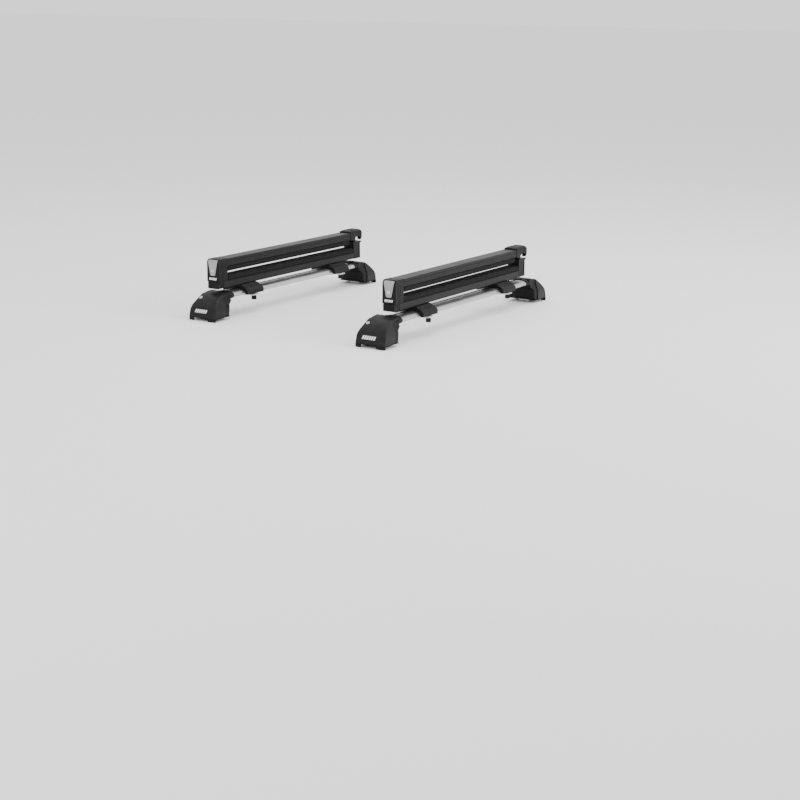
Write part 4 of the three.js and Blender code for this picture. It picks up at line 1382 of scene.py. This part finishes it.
def carrier_lock():
    """The button's key cylinder with its cam."""
    front = BLOCK_NEAR - BUTTON_PROUD - 0.6
    low, high = CARRIER_LOCK_Z - 3, CARRIER_LOCK_Z + 3
    core = rod("core", CARRIER_LOCK_RADIUS, (0, front, CARRIER_LOCK_Z), 11.4, "y", 48)
    soften(core, 0.3, segments=2)
    lock_face(core, lambda place, normal: normal.y < -0.99 and place.y < front + 1, (0, 1, 0), 0.9, 0.4)
    cut(core, block("keyway", (-0.7, front - 1, low), (0.7, front + 2, high)))
    cam = block("cam", (-2.5, BLOCK_NEAR + 8.6, low), (12, BLOCK_NEAR + 11, high))
    return smooth(weld(core, soften(cam, 0.3, segments=2)))


lay_all(CARRIER_HOMES,
        (release_button(), "grey_button", "button", BUTTON_GREY, "grey_plastic", "release_button"),
        (carrier_lock(), "key_cylinder", "lock", LOCK_METAL, "lock_metal", "lock_core"))

# %% [markdown]
# ## Brackets
# Each carrier sits on its bar in two moulded saddles. A steel strap goes round the wing from
# below, and a star knob pulls it up.

# %% Mould the saddles, press the straps, turn the knobs
SADDLE_HALF = 45
SADDLE_EDGE = 54
RECESS_X, RECESS_Y = 44, 23
STRAP_HALF = 17
STRAP_LUG = 61.5
STUD_X = 45.6
BRACKET_Y = 260
KNOB_RADIUS = 8.4
KNOB_LOBES = 6


def saddle():
    """A block under the rail, hollowed to the wing, with the hole for the stud."""
    seat = RAIL_LOW - GAP
    flank = bezier((SADDLE_EDGE, 80), (51.3, 85.3), (44.7, 90.2), (34, seat - 5), 8)
    right = [(SADDLE_EDGE, 68), (SADDLE_EDGE, 80), *[tuple(p) for p in flank[1:]],
             (34, seat - 5), (27, seat)]
    body = drawn("saddle", mirrored(right), "y", -SADDLE_HALF, SADDLE_HALF)
    soften(body, 1.6, segments=4, angle=44)
    cut(body, drawn("wing", wing(GAP), "y", -SADDLE_HALF - 1, SADDLE_HALF + 1))
    cut(body, block("under", (-42, -SADDLE_HALF - 1, 40), (42, SADDLE_HALF + 1, BAR_MID)))
    for x in (-RECESS_X, RECESS_X):
        for y in (-RECESS_Y, RECESS_Y):
            cut(body, soften(block("recess", (x - 6, y - 3, 60), (x + 6, y + 3, 74)), 1.0))
    return smooth(cut(body, rod("hole", 3.5, (STUD_X, 0, 60), 19, "z", 32)))


def strap():
    """A band round the wing's underside with two flat lugs."""
    low = STRAP_LUG + 3.5
    band = drawn("band", wing(3.6), "y", -STRAP_HALF, STRAP_HALF)
    keep_inside(band, block("lower", (-60, -20, 40), (60, 20, low)))
    weld(band, block("lugs", (-SADDLE_EDGE, -STRAP_HALF + 0.02, STRAP_LUG),
                     (SADDLE_EDGE, STRAP_HALF - 0.02, STRAP_LUG + 4)))
    cut(band, drawn("wing", wing(0.4), "y", -STRAP_HALF - 1, STRAP_HALF + 1))
    cut(band, block("open", (-36, -STRAP_HALF - 1, low), (36, STRAP_HALF + 1, 86)))
    cut(band, rod("hole", 3.5, (STUD_X, 0, 50), 20, "z", 32))
    return smooth(soften(band, 0.35, segments=2, angle=50))


def knob():
    """A lobed grip with its collar and stud."""
    points = []
    for i in range(KNOB_LOBES * 12):
        turn = 2 * pi * i / (KNOB_LOBES * 12)
        radius = KNOB_RADIUS + 0.9 * cos(KNOB_LOBES * turn)
        points.append((radius * cos(turn), radius * sin(turn)))
    grip = soften(drawn("grip", points, "z", 46, 58.5), 0.9, segments=3, angle=60)
    cut(grip, soften(rod("dimple", 4.6, (0, 0, 45), 2.2, "z", 36), 0.5, segments=2))
    weld(grip, soften(rod("collar", 5.5, (0, 0, 57), STRAP_LUG - GAP - 57, "z", 36), 0.4, segments=2))
    weld(grip, soften(rod("stud", 3, (0, 0, 58), 19.5, "z", 28), 0.5, segments=2))
    grip.data.transform(Matrix.Translation((STUD_X * MM, 0, 0)))
    return smooth(grip)


saddle_model, strap_model, knob_model = saddle(), strap(), knob()
for name in CARRIERS:
    for side, y in (("near", -BRACKET_Y), ("far", BRACKET_Y)):
        place = carrier_place(name) @ Matrix.Translation((0, y * MM, 0))
        lay(saddle_model, f"{name}_{side}_saddle_moulding", place, "root", MOULDED, "black_plastic",
            f"{name}_saddle_{side}")
        lay(strap_model, f"{name}_{side}_steel_strap", place, f"{name}_strap_{side}", STEEL, "steel",
            f"{name}_strap_{side}")
        lay(knob_model, f"{name}_{side}_star_knob", place, f"{name}_knob_{side}", MOULDED, "black_plastic",
            f"{name}_knob_{side}")
put_away(saddle_model, strap_model, knob_model)

# %% [markdown]
# ## Floor
# The rack stands on a plain pale floor, which runs out far past the view.

# %% Lay the floor
FLOOR_SIZE = 80.0
clear_selection()
bpy.ops.mesh.primitive_plane_add(size=FLOOR_SIZE, location=(0, 0, 0))
floor = bpy.context.object
floor.name = "floor"
floor_paint = bpy.data.materials.new("pale_floor")
floor_paint.use_nodes = True
floor_paint.node_tree.nodes["Principled BSDF"].inputs["Base Color"].default_value = (0.93, 0.93, 0.93, 1)
floor_paint.node_tree.nodes["Principled BSDF"].inputs["Roughness"].default_value = 0.8
floor.data.materials.append(floor_paint)
print("floor:", floor.dimensions.x, "m")
